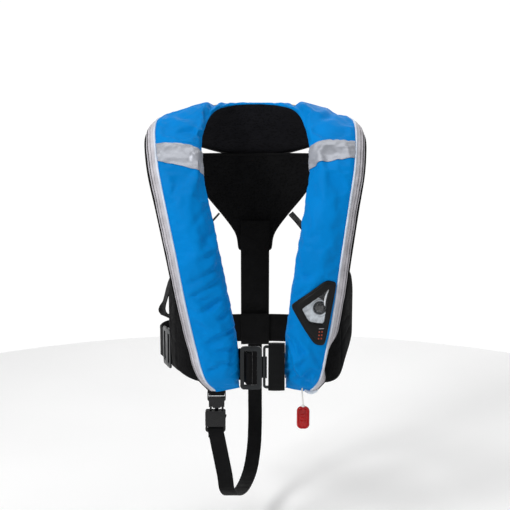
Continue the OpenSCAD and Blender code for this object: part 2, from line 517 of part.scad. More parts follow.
CROTCH_PATH = [[-62, -89.6, -470], [-62.2, -89.8, -458], [-62.4, -89.8, -453.3], [-62.5, -94, -450.8],
    [-62.5, -100, -450.6], [-62.3, -103.6, -452.6], [-61.4, -104, -458], [-59.6, -101.5, -468],
    [-57, -98, -484], [-48.5, -94, -532], [-45, -87, -560], [-36, -58, -582],
    [-22, -8, -592], [-9, 52, -585], [-2, 98, -558], [0, 118, -520], [0, 124.6, -480], [0, 124.8, -430],
    [0, 124.8, -380], [0, 124.8, -322]];
module crotch_strap() color("#16171A") strap(smooth(CROTCH_PATH, 2), SIDEWAYS, crotch_w, CROTCH_T);
LOOP_PATH = [[-20, 123.5], [-15.4, 123.6], [-14, 126.8], [0, 127], [14, 126.8], [15.4, 123.6], [20, 123.5]];
module crotch_rear_loop() color("#16171A") strap(at_z(LOOP_PATH, -344), UP, 20, 1.2);

left_lobe_cover();
right_lobe_cover();
collar_cover();
left_lobe_lining();
right_lobe_lining();
collar_lining();
edge_piping();
zip_upper_tape();
zip_lower_tape();
zip_teeth();
zip_slider();
zip_pull_tab();
zip_end_stops();
left_reflective_band();
right_reflective_band();
bladder();
window_frame();
window_pane();
inflator_body();
manifold();
manifold_gasket();
sensor_cap();
sensor_cartridge();
piercing_pin();
firing_lever();
lever_pin();
lever_clip();
gas_cylinder();
pull_cord();
pull_handle();
cord_grommet();
oral_tube();
oral_valve();
oral_cap();
whistle();
whistle_cord();
waist_belt();
buckle_frame();
buckle_webbing();
buckle_ring();
ring_webbing();
keeper_sleeve();
left_side_panel();
right_side_panel();
belt_adjuster();
back_yoke();
back_strap();
left_rear_strap();
right_rear_strap();
crotch_tab();
plug_body();
plug_prong_left();
plug_prong_right();
crotch_socket();
crotch_strap();
crotch_rear_loop();
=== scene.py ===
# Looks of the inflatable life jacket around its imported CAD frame. Lengths in the tables are in
# millimetres, in the frame of part.scad, and become metres when a mesh is made.
import json
import math

import bmesh
import bpy
import numpy as np
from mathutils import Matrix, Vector, noise


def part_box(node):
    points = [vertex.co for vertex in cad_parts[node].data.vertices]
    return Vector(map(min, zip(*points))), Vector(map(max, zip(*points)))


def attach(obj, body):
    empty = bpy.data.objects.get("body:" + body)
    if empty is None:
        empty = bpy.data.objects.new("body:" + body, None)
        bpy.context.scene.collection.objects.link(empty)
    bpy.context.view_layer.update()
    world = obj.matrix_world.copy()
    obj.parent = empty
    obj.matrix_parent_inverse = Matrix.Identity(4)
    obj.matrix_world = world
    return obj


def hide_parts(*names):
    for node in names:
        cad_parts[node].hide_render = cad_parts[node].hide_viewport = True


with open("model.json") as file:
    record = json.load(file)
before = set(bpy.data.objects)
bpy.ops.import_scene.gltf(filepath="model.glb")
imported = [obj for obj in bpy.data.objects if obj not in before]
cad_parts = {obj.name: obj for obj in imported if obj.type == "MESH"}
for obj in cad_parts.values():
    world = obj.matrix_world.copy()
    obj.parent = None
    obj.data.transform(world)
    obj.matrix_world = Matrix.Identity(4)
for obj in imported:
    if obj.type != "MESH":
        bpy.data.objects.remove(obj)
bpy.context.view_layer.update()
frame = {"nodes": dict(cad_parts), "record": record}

scene = bpy.context.scene
MM = 0.001
UP = np.array([0.0, 0.0, 1.0])
SIDEWAYS = np.array([1.0, 0.0, 0.0])
BACKWARD = np.array([0.0, 1.0, 0.0])

# ---------------------------------------------------------------- camera, light, floor
camera_data = bpy.data.cameras.new("camera")
camera_data.lens = 70
camera_data.sensor_width = 36
camera = bpy.data.objects.new("camera", camera_data)
scene.collection.objects.link(camera)
camera.location = (0, -1.6, 0.092)
camera.rotation_euler = (math.radians(80), 0, 0)
scene.camera = camera
scene.view_settings.view_transform = "Standard"


def area_light(name, place, target, size, power):
    data = bpy.data.lights.new(name, "AREA")
    data.shape = "RECTANGLE"
    data.size, data.size_y = size
    data.energy = power
    lamp = bpy.data.objects.new(name, data)
    scene.collection.objects.link(lamp)
    lamp.location = place
    lamp.rotation_euler = (Vector(target) - Vector(place)).to_track_quat("-Z", "Y").to_euler()


area_light("key", (-1.45, -1.35, 1.35), (0, 0, -0.15), (0.6, 0.6), 34)
area_light("fill", (1.5, -1.5, 0.4), (0, 0, -0.2), (1.4, 1.4), 4)
area_light("top", (0, 0.2, 1.8), (0, 0, 0), (1.6, 1.2), 16)
area_light("back", (0.4, 1.8, 0.8), (0, 0, -0.2), (1.4, 1.0), 12)

# A white studio: bright up to a little above the horizon, dimmer overhead and in front
world = bpy.data.worlds.new("studio")
world.use_nodes = True
sky = world.node_tree
sky_at, sky_split, sky_both = (sky.nodes.new("ShaderNode" + kind)
                               for kind in ("TexCoord", "SeparateXYZ", "Math"))
sky_both.operation = "MULTIPLY"
sky.links.new(sky_at.outputs["Generated"], sky_split.inputs[0])
for axis, values in (("Z", (0.1, 0.45, 1.02, 0.25)), ("Y", (0.3, 0.75, 0.76, 1.0))):
    sky_fade = sky.nodes.new("ShaderNodeMapRange")
    for key, value in zip(("From Min", "From Max", "To Min", "To Max"), values):
        sky_fade.inputs[key].default_value = value
    sky.links.new(sky_split.outputs[axis], sky_fade.inputs["Value"])
    sky.links.new(sky_fade.outputs["Result"], sky_both.inputs[0 if axis == "Z" else 1])
sky.links.new(sky_both.outputs[0], sky.nodes["Background"].inputs["Strength"])
sky.nodes["Background"].inputs["Color"].default_value = (1, 1, 1, 1)
scene.world = world


# ---------------------------------------------------------------- materials
WAVE_SCALE = 0.314159  # scale of a wave texture with a period of one metre


def srgb(*c):
    return tuple(((v / 255 + 0.055) / 1.055) ** 2.4 if v > 10 else v / 255 / 12.92 for v in c) + (1,)


def shade(colour, k):
    return tuple(min(1, c * k) for c in colour[:3]) + (1,)


class Shader:
    """A node material: keeps the tree and the main shader at hand."""

    def __init__(self, name, uv=True):
        self.mat = bpy.data.materials.new(name)
        self.mat.use_nodes = True
        self.tree = self.mat.node_tree
        self.main = self.tree.nodes["Principled BSDF"]
        coords = self.add("ShaderNodeTexCoord")
        self.at = coords.outputs["UV" if uv else "Object"]
        self.object_at = coords.outputs["Object"]
        self.height = None

    def add(self, kind, **values):
        node = self.tree.nodes.new(kind)
        for key, value in values.items():
            setattr(node, key, value)
        return node

    def link(self, a, b):
        self.tree.links.new(a, b)

    def set(self, **values):
        for key, value in values.items():
            self.main.inputs[key.replace("_", " ")].default_value = value
        return self

    def scaled(self, at, scale=(1, 1, 1), turn=0.0):
        mapping = self.add("ShaderNodeMapping")
        mapping.inputs["Scale"].default_value = scale
        mapping.inputs["Rotation"].default_value = (0, 0, turn)
        self.link(at, mapping.inputs["Vector"])
        return mapping.outputs["Vector"]

    def waves(self, period, direction="X", turn=0.0):
        wave = self.add("ShaderNodeTexWave", bands_direction=direction)
        wave.inputs["Scale"].default_value = WAVE_SCALE / period
        self.link(self.scaled(self.at, turn=turn), wave.inputs["Vector"])
        return wave.outputs["Fac"]

    def weave(self, period):
        """Threads that cross both ways."""
        return self.maths("MULTIPLY", self.waves(period), self.waves(period, "Y"))

    def noise(self, scale, detail=3.0, stretch=(1, 1, 1)):
        node = self.add("ShaderNodeTexNoise")
        node.inputs["Scale"].default_value = scale
        node.inputs["Detail"].default_value = detail
        self.link(self.scaled(self.object_at, stretch), node.inputs["Vector"])
        return node.outputs["Fac"]

    def cells(self, scale):
        node = self.add("ShaderNodeTexVoronoi", feature="F1")
        node.inputs["Scale"].default_value = scale
        self.link(self.scaled(self.at), node.inputs["Vector"])
        return node.outputs["Distance"]

    def maths(self, operation, a, b=None):
        node = self.add("ShaderNodeMath", operation=operation)
        for socket, value in zip(node.inputs, (a, b)):
            if isinstance(value, (int, float)):
                socket.default_value = value
            elif value is not None:
                self.link(value, socket)
        return node.outputs[0]

    def blend(self, a, share, b, other):
        """The sum of two values, each times its share."""
        return self.maths("ADD", self.maths("MULTIPLY", a, share), self.maths("MULTIPLY", b, other))

    def remap(self, value, low, high, out_low, out_high):
        node = self.add("ShaderNodeMapRange")
        self.link(value, node.inputs["Value"])
        for name, v in (("From Min", low), ("From Max", high), ("To Min", out_low), ("To Max", out_high)):
            node.inputs[name].default_value = v
        return node.outputs["Result"]

    def colours(self, value, *stops):
        node = self.add("ShaderNodeValToRGB")
        ramp = node.color_ramp
        while len(ramp.elements) < len(stops):
            ramp.elements.new(0.5)
        for element, (position, colour) in zip(ramp.elements, stops):
            element.position = position
            element.color = colour
        self.link(value, node.inputs["Fac"])
        self.link(node.outputs["Color"], self.main.inputs["Base Color"])

    def tones(self, value, base, low, high, middle=0.5):
        """A base colour with darker and lighter parts, each a position and a factor."""
        self.colours(value, (low[0], shade(base, low[1])), (middle, base), (high[0], shade(base, high[1])))

    def rough(self, value, low, high):
        self.link(self.remap(value, 0.3, 0.7, low, high), self.main.inputs["Roughness"])
        return self

    def bump(self, value, distance, strength=1.0):
        node = self.add("ShaderNodeBump")
        node.inputs["Distance"].default_value = distance
        node.inputs["Strength"].default_value = strength
        self.link(value, node.inputs["Height"])
        if self.height is not None:
            self.link(self.height, node.inputs["Normal"])
        self.height = node.outputs["Normal"]
        self.link(self.height, self.main.inputs["Normal"])
        return self


def cover_material():
    s = Shader("coated_nylon_blue")
    cloud, weave = s.noise(14, 4), s.weave(0.0007)
    s.tones(s.blend(cloud, 0.85, weave, 0.15), srgb(0, 126, 203), (0.25, 0.86), (0.75, 1.1))
    s.rough(cloud, 0.5, 0.64)
    s.bump(weave, 0.00012, 0.35).bump(s.noise(160, 3), 0.0005, 0.25)
    return s.set(Specular_IOR_Level=0.04).mat


def cloth_material(name, base, period=0.0009, roughness=(0.75, 0.9), bump=0.0002, sheen=0.05, cloud=30):
    s = Shader(name)
    clouds, weave = s.noise(cloud, 4), s.weave(period)
    s.tones(s.blend(clouds, 0.7, weave, 0.3), base, (0.25, 0.72), (0.8, 1.3))
    s.rough(clouds, *roughness)
    s.bump(weave, bump, 0.6).bump(s.noise(220, 3), bump * 2, 0.3)
    return s.set(Sheen_Weight=sheen, Sheen_Roughness=0.5, Specular_IOR_Level=0.2).mat


def webbing_material(name, base, roughness=(0.55, 0.72)):
    """Woven webbing: chevron ribs across the width, fine picks along the length."""
    s = Shader(name)
    zigzag = s.maths("PINGPONG", s.waves(0.009, "Y"), 0.5)
    ribs = s.maths("MAXIMUM", s.waves(0.0017, "X", 0.6), s.waves(0.0017, "X", -0.6))
    height = s.blend(ribs, 0.6, s.maths("MULTIPLY", s.waves(0.0011, "Y"), zigzag), 0.5)
    s.tones(s.blend(height, 0.5, s.noise(60, 4), 0.5), base, (0.2, 0.6), (0.85, 1.9))
    s.rough(s.noise(90, 3), *roughness)
    s.bump(height, 0.00035, 0.7)
    return s.set(Sheen_Weight=0.01, Sheen_Roughness=0.35, Specular_IOR_Level=0.1).mat


def mesh_material(name, base):
    """Spacer mesh: closely set small holes."""
    s = Shader(name)
    pits = s.remap(s.cells(330), 0.15, 0.5, 0.0, 1.0)
    s.tones(s.blend(pits, 0.6, s.noise(40, 4), 0.4), base, (0.15, 0.45), (0.9, 1.8))
    s.rough(s.noise(50, 3), 0.75, 0.92)
    s.bump(pits, 0.0006, 0.8)
    return s.set(Sheen_Weight=0.01, Sheen_Roughness=0.5, Specular_IOR_Level=0.08).mat


def reflective_material():
    """Retroreflective tape: glass-bead grain, a barely visible diamond print and a creased face."""
    s = Shader("reflective_tape")
    diamonds = s.maths("MAXIMUM", s.waves(0.004, "X", 0.785), s.waves(0.004, "X", -0.785))
    clouds = s.noise(38, 4, (1, 1, 1.6))
    s.colours(s.blend(clouds, 0.94, diamonds, 0.06),
              (0.25, srgb(154, 157, 165)), (0.5, srgb(163, 166, 174)), (0.75, srgb(174, 177, 185)))
    s.rough(clouds, 0.38, 0.52)
    s.bump(s.cells(900), 0.0001, 0.4).bump(s.noise(70, 4, (1, 1, 2.2)), 0.001, 0.4)
    return s.set(Metallic=0.3, Specular_IOR_Level=0.5).mat


def plastic_material(name, base, roughness=(0.3, 0.45), grain=0.00012, coat=0.0, spots=900, specular=0.5):
    """Moulded plastic or rubber: fine spark-eroded grain, faint flow and wear."""
    s = Shader(name, uv=False)
    s.tones(s.noise(45, 5), base, (0.25, 0.78), (0.8, 1.22))
    s.rough(s.noise(130, 4), *roughness)
    s.bump(s.noise(spots, 2), grain, 0.5).bump(s.noise(25, 2), 0.0004, 0.15)
    return s.set(Coat_Weight=coat, Specular_IOR_Level=specular).mat


def metal_material(name, base, roughness=(0.25, 0.42), stretch=(1, 1, 30), metallic=1.0, worn=1.25):
    """Metal with drawn or blasted grain, darker and brighter patches and fine scratches."""
    s = Shader(name, uv=False)
    grain = s.noise(180, 3, stretch)
    s.tones(s.blend(s.noise(35, 5), 0.6, grain, 0.4), base, (0.25, 0.7), (0.85, worn), 0.55)
    s.rough(s.noise(70, 4), *roughness)
    s.bump(grain, 0.0001, 0.4)
    return s.set(Metallic=metallic).mat


def window_material():
    s = Shader("clear_pane", uv=False)
    clouds = s.noise(30, 3)
    s.colours(clouds, (0.3, srgb(196, 206, 214)), (0.7, srgb(226, 232, 236)))
    s.rough(clouds, 0.03, 0.08)
    s.bump(s.noise(28, 2), 0.0009, 0.35)
    s.mat.surface_render_method = "BLENDED"
    return s.set(Alpha=0.02, Specular_IOR_Level=0.5, IOR=1.45).mat


def teeth_material():
    s = Shader("zip_coil")
    s.colours(s.noise(200, 3), (0.3, srgb(48, 46, 50)), (0.7, srgb(86, 84, 88)))
    s.rough(s.noise(300, 2), 0.35, 0.5)
    s.bump(s.noise(900, 2), 0.0001, 0.4)
    return s.mat


BLACK = srgb(11, 11, 12)
RUBBER = srgb(11, 12, 13)
EVEN = (1, 1, 1)
MATERIALS = {
    "cover_blue": cover_material(),
    "lining_black": mesh_material("spacer_mesh_lining", srgb(15, 15, 18)),
    "piping_silver": cloth_material("piping_cloth", srgb(214, 222, 234), 0.0008, (0.5, 0.65),
                                    0.00015, 0.1, 40),
    "zip_tape": cloth_material("zip_tape_cloth", srgb(198, 195, 201), 0.0012, (0.6, 0.75), 0.0003, 0.08, 60),
    "zip_teeth": teeth_material(),
    "zip_metal": metal_material("zip_metal", srgb(96, 97, 102), (0.3, 0.5), EVEN),
    "reflective": reflective_material(),
    "bladder_cloth": cloth_material("bladder_nylon", srgb(236, 196, 40), 0.0008, (0.35, 0.5),
                                    0.0001, 0.05, 12),
    "window_rubber": plastic_material("window_rubber", RUBBER, (0.42, 0.58), 0.0002, 0.0, 700, 0.2),
    "window_clear": window_material(),
    "inflator_plastic": plastic_material("inflator_plastic", srgb(30, 32, 36), (0.35, 0.5)),
    "gasket": plastic_material("gasket_rubber", srgb(18, 18, 19), (0.6, 0.8), 0.0002),
    "cap_gloss": plastic_material("cap_gloss", srgb(12, 12, 14), (0.08, 0.16), 0.00002, 0.8, 300),
    "cartridge_white": plastic_material("cartridge_plastic", srgb(216, 219, 222), (0.3, 0.42), 0.00008),
    "steel": metal_material("lever_steel", srgb(190, 193, 198)),
    "clip_green": plastic_material("clip_plastic", srgb(52, 158, 78), (0.35, 0.5)),
    "gas_steel": metal_material("gas_steel", srgb(196, 199, 204), (0.22, 0.34), (1, 1, 0.02)),
    "cord_white": cloth_material("cord_braid", srgb(238, 238, 233), 0.0012, (0.7, 0.85), 0.0003, 0.2, 80),
    "handle_red": plastic_material("handle_red", srgb(168, 8, 10), (0.22, 0.34), 0.00004, 0.15, 500, 0.3),
    "cap_red": plastic_material("cap_red", srgb(176, 30, 34), (0.3, 0.4)),
    "mark_orange": plastic_material("mark_print", srgb(158, 58, 26), (0.5, 0.6), 0.00004),
    "tray_silver": metal_material("tray_foil", srgb(206, 213, 220), (0.3, 0.5), EVEN, 0.2, 1.2),
    "whistle_orange": plastic_material("whistle_orange", srgb(232, 108, 26), (0.25, 0.35), 0.00004, 0.3),
    "webbing_black": webbing_material("webbing_black", BLACK),
    "keeper_black": webbing_material("keeper_elastic", RUBBER, (0.3, 0.44)),
    "buckle_black": metal_material("buckle_coat", srgb(34, 37, 39), (0.26, 0.4), EVEN, 0.5, 1.6),
    "mesh_black": mesh_material("panel_mesh", BLACK),
    "buckle_plastic": plastic_material("buckle_plastic", srgb(12, 12, 14), (0.2, 0.32), 0.00008, 0.1,
                                       specular=0.3),
}
for part in frame["record"]["subparts"]:
    node = frame["nodes"][part["node"]]
    node.data.materials.clear()
    node.data.materials.append(MATERIALS[part["material_slot"]])
    node.data.shade_smooth()
    node.data.set_sharp_from_angle(angle=math.radians(30))


# ---------------------------------------------------------------- mesh helpers
def unit(v):
    v = np.asarray(v, float)
    return v / np.maximum(np.linalg.norm(v, axis=-1, keepdims=True), 1e-12)


def piece(name, points, faces, slot_name, body="pack", replaces=(), uv=None, sharp=40):
    """A mesh object from points in millimetres; uv holds a pair per point, in metres."""
    mesh = bpy.data.meshes.new(name)
    mesh.from_pydata((np.reshape(points, (-1, 3)).astype(float) * MM).tolist(), [], faces)
    mesh.validate()
    if uv is not None:
        layer = mesh.uv_layers.new(name="cloth")
        loops = np.zeros(len(mesh.loops), int)
        mesh.loops.foreach_get("vertex_index", loops)
        layer.data.foreach_set("uv", np.reshape(uv, (-1, 2))[loops].astype(np.float32).ravel())
    fix = bmesh.new()
    fix.from_mesh(mesh)
    bmesh.ops.recalc_face_normals(fix, faces=fix.faces)
    fix.to_mesh(mesh)
    fix.free()
    mesh.materials.append(MATERIALS[slot_name])
    mesh.shade_smooth()
    mesh.set_sharp_from_angle(angle=math.radians(sharp))
    made = bpy.data.objects.new(name, mesh)
    scene.collection.objects.link(made)
    if body:
        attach(made, body)
    if replaces:
        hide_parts(*replaces)
    return made


def uv_grid(across, down):
    """A texture place in metres for each point of a grid, from millimetres across and down it."""
    return np.stack(np.broadcast_arrays(np.atleast_2d(across) * MM, (np.asarray(down) * MM)[:, None]), -1)


def ring_faces(count, size, closed=False, caps=True, base=0):
    """Faces of a tube of rings that lie one after another."""
    faces = []
    for i in range(count if closed else count - 1):
        for j in range(size):
            a, b = base + i * size, base + (i + 1) % count * size
            k = (j + 1) % size
            faces.append((a + j, a + k, b + k, b + j))
    if caps and not closed:
        faces.append(tuple(base + j for j in range(size)))
        faces.append(tuple(base + (count - 1) * size + j for j in reversed(range(size))))
    return faces


def tube(name, rings, slot_name, body="pack", replaces=(), uv=None, sharp=40, closed=False):
    """A piece through rings of points that lie one after another."""
    return piece(name, rings, ring_faces(*rings.shape[:2], closed=closed), slot_name, body,
                 replaces, uv, sharp)


def grid_faces(rows, columns):
    return [(i * columns + j, i * columns + j + 1, (i + 1) * columns + j + 1, (i + 1) * columns + j)
            for i in range(rows - 1) for j in range(columns - 1)]


def curve(a, b, c, d, t):
    """A smooth curve from b to c, at shares t of the way."""
    square, cube = 2 * a - 5 * b + 4 * c - d, 3 * b - a - 3 * c + d
    return 0.5 * (2 * b + t * (c - a) + t * t * square + t ** 3 * cube)


def smooth(points, k):
    """The same curve through the points as in the CAD source."""
    p = np.asarray(points, float)
    p = np.vstack([2 * p[0] - p[1], p, 2 * p[-1] - p[-2]])
    steps = [curve(*four, t) for four in zip(p, p[1:], p[2:], p[3:]) for t in np.arange(k) / k]
    return np.array(steps + [p[-2]])


def along(points):
    """Lengths along a path, from its start to each of its points."""
    return np.concatenate([[0], np.cumsum(np.linalg.norm(np.diff(points, axis=0), axis=1))])


def on_path(values, s, at):
    """The values at given lengths along a path whose points lie at lengths s."""
    return np.stack([np.interp(at, s, column) for column in values.T], 1)


def resample(points, step=0.0, count=0):
    """The path with points evenly spaced: about a step apart, or so many of them."""
    points = np.asarray(points, float)
    s = along(points)
    count = count or max(3, int(round(s[-1] / step)) + 1)
    return on_path(points, s, np.linspace(0, s[-1], count))


def relax(loop, rounds):
    """A closed loop with its corners rounded off."""
    for _ in range(rounds):
        loop = (np.roll(loop, 1, 0) + 2 * loop + np.roll(loop, -1, 0)) / 4
    return loop


def tangents(path, closed=False):
    if closed:
        return unit(np.roll(path, -1, 0) - np.roll(path, 1, 0))
    return unit(np.gradient(path, axis=0))


def circle(size):
    """So many angles, evenly round."""
    return np.linspace(0, 2 * np.pi, size, endpoint=False)


def rings_round(path, x, y, radius, size, wide=1.0, tall=1.0):
    """Rings round a path in its cross axes x and y, with a radius per ring or per point."""
    a = circle(size)[None, :, None]
    x, y = (np.broadcast_to(axis, path.shape)[:, None] for axis in (x, y))
    radius = np.reshape(radius, (len(path), -1, 1))
    return path[:, None] + radius * (wide * np.cos(a) * x + tall * np.sin(a) * y)


def from_edges(count, reach):
    """For each place in a row: 0 at its ends, rising to 1 within a reach of places."""
    k = np.arange(count)
    return np.minimum(1, np.minimum(k, k[::-1]) / reach)


def bake(made):
    """Applies the modifiers by taking the evaluated mesh."""
    bpy.context.view_layer.update()
    graph = bpy.context.evaluated_depsgraph_get()
    mesh = bpy.data.meshes.new_from_object(made.evaluated_get(graph), preserve_all_data_layers=True,
                                           depsgraph=graph)
    made.modifiers.clear()
    made.data = mesh


def fractal(p, scale, seed):
    """Smooth noise at a point, with swells about a scale apart."""
    place = Vector((p[0] / scale + seed, p[1] / scale - seed, p[2] / scale + 2 * seed))
    return noise.fractal(place, 0.9, 2.0, 3)


# ---------------------------------------------------------------- the pack's surface
OUTER = [(82, -104, -386), (100, -107, -356), (113, -109, -306), (126, -109, -240), (138, -104, -172),
         (151, -88, -108), (163, -62, -62), (170, -28, -30), (172, 8, -10), (167, 46, -3), (150, 82, -6),
         (104, 108, -20), (52, 120, -34), (0, 124, -40)]
INNER = [(36, -110, -376), (33, -113, -340), (37, -114, -288), (46, -113, -232), (58, -106, -160),
         (71, -90, -98), (80, -66, -56), (83, -36, -26), (80, -6, 0), (73, 26, 22), (59, 53, 39),
         (38, 71, 48), (18, 79, 52), (0, 81, 53)]
THICK = [10, 34, 38, 40, 40, 38, 36, 34, 33.6, 33.6, 33.6, 33.6, 33.6, 33.6]
NAPE = 13.0  # path value at the back of the neck
SEAM = 7.0  # path value where a lobe's cover meets the collar's
WIDEST = 0.36  # where a cross-section is widest, as a share of its thickness
PINCH, PINCH_FROM = 0.65, 0.6  # how far one lobe's rim is drawn in, and from which share of its half width
LEAN, LEAN_DROP = 12, 380  # the lobes stand so far over to +X at this depth below the neck


def on_stations(values, u):
    """Values between the rows of a table, which goes on past its last row as its mirror image."""
    v = np.asarray(values, float)
    flip = np.array([-1, 1, 1.0]) if v.ndim > 1 else 1.0
    e = np.concatenate([[2 * v[0] - v[1]], v, [v[-2] * flip]])
    i = np.minimum(np.floor(u).astype(int), len(v) - 2)
    t = (u - i)[:, None] if v.ndim > 1 else u - i
    return curve(e[i], e[i + 1], e[i + 2], e[i + 3], t)


def hang(p, side):
    """Points of the tables on their side, with the lobes leaning to +X the further down they hang."""
    q = p * np.stack([side, np.ones_like(side), np.ones_like(side)], 1)
    q[:, 0] += LEAN * np.maximum(0, -p[:, 2]) / LEAN_DROP
    return q


def ramp(a, b, u):
    """A smooth step from 0 at a to 1 at b."""
    t = np.clip((u - a) / (b - a), 0, 1)
    return t * t * (3 - 2 * t)


class Stations:
    """Local axes of the pack at path values u on the given sides."""

    def __init__(self, u, side):
        u = np.asarray(u, float)
        side = np.broadcast_to(np.asarray(side, float), u.shape)
        o, i = hang(on_stations(OUTER, u), side), hang(on_stations(INNER, u), side)
        lo, hi = np.maximum(u - 0.01, 0), np.minimum(u + 0.01, NAPE)
        run = sum(hang(on_stations(t, hi), side) - hang(on_stations(t, lo), side) for t in (OUTER, INNER))
        self.u, self.side = u, side
        self.mid, self.s = (o + i) / 2, unit(i - o)
        self.n = side[:, None] * unit(np.cross(run, self.s))
        self.half, self.t, self.run = np.linalg.norm(i - o, axis=1) / 2, on_stations(THICK, u), unit(run)
        self.pinch = np.where(side > 0, PINCH * ramp(0.7, 1.3, u) * (1 - ramp(1.8, 2.4, u)), 0)

    def at(self, angles, depth):
        """Points [station, angle] of the cross-sections at a depth below the surface."""
        a = np.radians(np.asarray(angles, float))[None, :]
        depth = np.broadcast_to(np.asarray(depth, float), (1, a.shape[1]))
        c, s = np.cos(a), np.sin(a)
        n0, top = WIDEST * self.t[:, None], self.t[:, None]
        c = np.sign(c) * np.abs(c) ** 0.9
        x = -(self.half[:, None] - depth) * (c - self.pinch[:, None] * np.maximum(0, c - PINCH_FROM))
        h = np.where(s >= 0, n0 + (top - n0 - depth) * np.abs(s) ** 0.9, n0 - (n0 - depth) * np.abs(s) ** 0.6)
        return self.mid[:, None] + x[..., None] * self.s[:, None] + h[..., None] * self.n[:, None]


def evenly(values, points, step):
    """The values at places about a step apart along a path of points."""
    s = along(points)
    return np.interp(np.linspace(0, s[-1], max(4, int(s[-1] / step))), s, values)


def even_u(low, high, step):
    """Path values from low to high, evenly spaced along the pack's middle line."""
    u = np.linspace(low, high, 600)
    return evenly(u, Stations(u, 1).mid, step)


def even_angles(low, high, step):
    """Angles spaced evenly along the middle cross-section of a lobe."""
    a = np.linspace(low, high, 800)
    return evenly(a, Stations([3.0], 1).at(a, 0)[0], step)


def both_sides(u):
    """Stations up one side of the pack to the last path value, and down the other side."""
    return Stations(np.concatenate([u, u[-2::-1]]), np.concatenate([np.ones(len(u)), -np.ones(len(u) - 1)]))


def all_round(step):
    """Stations from one lobe's bottom round the neck to the other's."""
    return both_sides(even_u(0, NAPE, step))


def in_outline(x, z, outline, grow=0.0):
    """Which points lie in a convex outline grown by a margin."""
    c = np.mean(outline, axis=0)
    inside = np.ones(np.shape(x), bool)
    for p, q in zip(outline, outline[1:] + outline[:1]):
        p, q = np.array(p, float), np.array(q, float)
        n = np.array([q[1] - p[1], p[0] - q[0]])
        n = n / np.linalg.norm(n)
        n = n if (c - p) @ n < 0 else -n
        inside &= (x - p[0]) * n[0] + (z - p[1]) * n[1] < grow
    return inside


# ---------------------------------------------------------------- pull cord and handle (first: they are free)
CORD_TOP, CORD_EXIT = (86, -129, -298), (74, -122, -373)
CORD_PATH = [CORD_TOP, (82, -126.7, -323), (78, -124.3, -348), CORD_EXIT, (73, -121.4, -379.5),
             (73.2, -121.2, -385), (74, -121, -395), (74.8, -121, -408)]
cord_line = resample(smooth(CORD_PATH, 6), 4)


def braid(name, path, radius, body="pack", replaces=(), lay=7.0):
    """A braided cord: a round tube whose surface carries crossing strands, with a lay in millimetres."""
    path = resample(path, 0.55)
    x = unit(np.cross(tangents(path), [0.3, 1, 0.1]))
    s, a = along(path), circle(20)
    phase = s[:, None] * 4 * np.pi / lay
    r = radius * (0.9 + 0.1 * np.maximum(np.cos(4 * a - phase), np.cos(4 * a + phase)))
    rings = rings_round(path, x, np.cross(tangents(path), x), r, len(a))
    uv = np.stack(np.broadcast_arrays(s[:, None] * MM, a[None] * radius * MM), -1)
    return tube(name, rings, "cord_white", body, replaces, uv, 60)


pull_line = braid("pull_line", cord_line, 1.25, body="pull", replaces=("pull_cord",))


def rounded_outline(w, h, r, n=6):
    out = []
    for sx, sy, a0 in ((1, 1, 0), (-1, 1, 90), (-1, -1, 180), (1, -1, 270)):
        for k in range(n + 1):
            a = math.radians(a0 + 90 * k / n)
            out.append((sx * (w / 2 - r) + r * math.cos(a), sy * (h / 2 - r) + r * math.sin(a)))
    return out


def lofted_plate(name, layers, centre, replaces=()):
    """A moulded red plate in the XZ plane: layers are (w, h, r, y) from back to front."""
    rings = [[(centre[0] + x, centre[1] + y, centre[2] + z) for x, z in rounded_outline(w, h, r)]
             for w, h, r, y in layers]
    return tube(name, np.array(rings), "handle_red", "pull", replaces, sharp=50)


# A moulded tag: raised rim, sunk face with three grip ridges, and an eye where the cord goes in
TAG_X, TAG_Y, TAG_Z = 75, -121, -426
RIDGE_Z, RIDGE_PITCH, EYE_Z = -431.5, 5.2, -413.5
TAG_BACK = [(13.2, 29, 5.4, 2.6), (14.4, 30.2, 6.0, 3.4), (15.2, 31, 6.4, 3.9), (17.4, 33.2, 6.9, 3.9),
            (18.8, 34.8, 7.2, 3.2), (19.8, 35.8, 7.4, 1.8)]
TAG_FRONT = [(w, h, r, -y) for w, h, r, y in reversed(TAG_BACK)]
handle = lofted_plate("pull_tag", TAG_BACK + [(20, 36, 7.4, 0)] + TAG_FRONT, (TAG_X, TAG_Y, TAG_Z),
                      ("pull_handle",))
for k in range(3):
    lofted_plate(f"pull_tag_rib_{k + 1}", [(9, 2.4, 1.1, -2.3), (9, 2.4, 1.1, -3.2), (8.4, 1.8, 0.8, -3.7)],
                 (TAG_X, TAG_Y, RIDGE_Z + RIDGE_PITCH * k))
eye = lofted_plate("pull_tag_eye", [(6.4, 6.4, 3.1, -2.2), (6.4, 6.4, 3.1, -3.6), (5.6, 5.6, 2.7, -4.2)],
                   (TAG_X, TAG_Y, EYE_Z))
KNOT = [(75, -121.6, -405.6), (77.1, -122.2, -406.4), (76.2, -119.4, -407.2), (73.4, -119.6, -406.6),
        (73.2, -122.6, -407.4), (76, -122.8, -408.2), (76.4, -120, -408.9), (74.4, -119.8, -408.4)]
knot = braid("pull_knot", smooth(KNOT, 5), 0.9, body="pull")
float(along(smooth(CORD_PATH, 12))[-1]) * MM
WHISTLE_CORD = [(-61.9, -137, -309.4), (-64, -138, -303), (-67, -138.6, -297), (-68, -138.5, -290.8)]
braid("whistle_line", smooth(WHISTLE_CORD, 4), 0.9, replaces=("whistle_cord",))


# ---------------------------------------------------------------- covers
WINDOW_OUTER = [(106, -202), (122.5, -205.5), (114.3, -252), (105.5, -303), (90, -300), (72, -272),
                (56.5, -245), (57, -239.5), (80, -221)]
WINDOW_INNER = [(108.5, -216), (110.5, -216), (107.5, -241), (103.5, -268.5), (94, -267.5),
                (81, -264.5), (71, -247), (71.5, -244), (90, -231)]
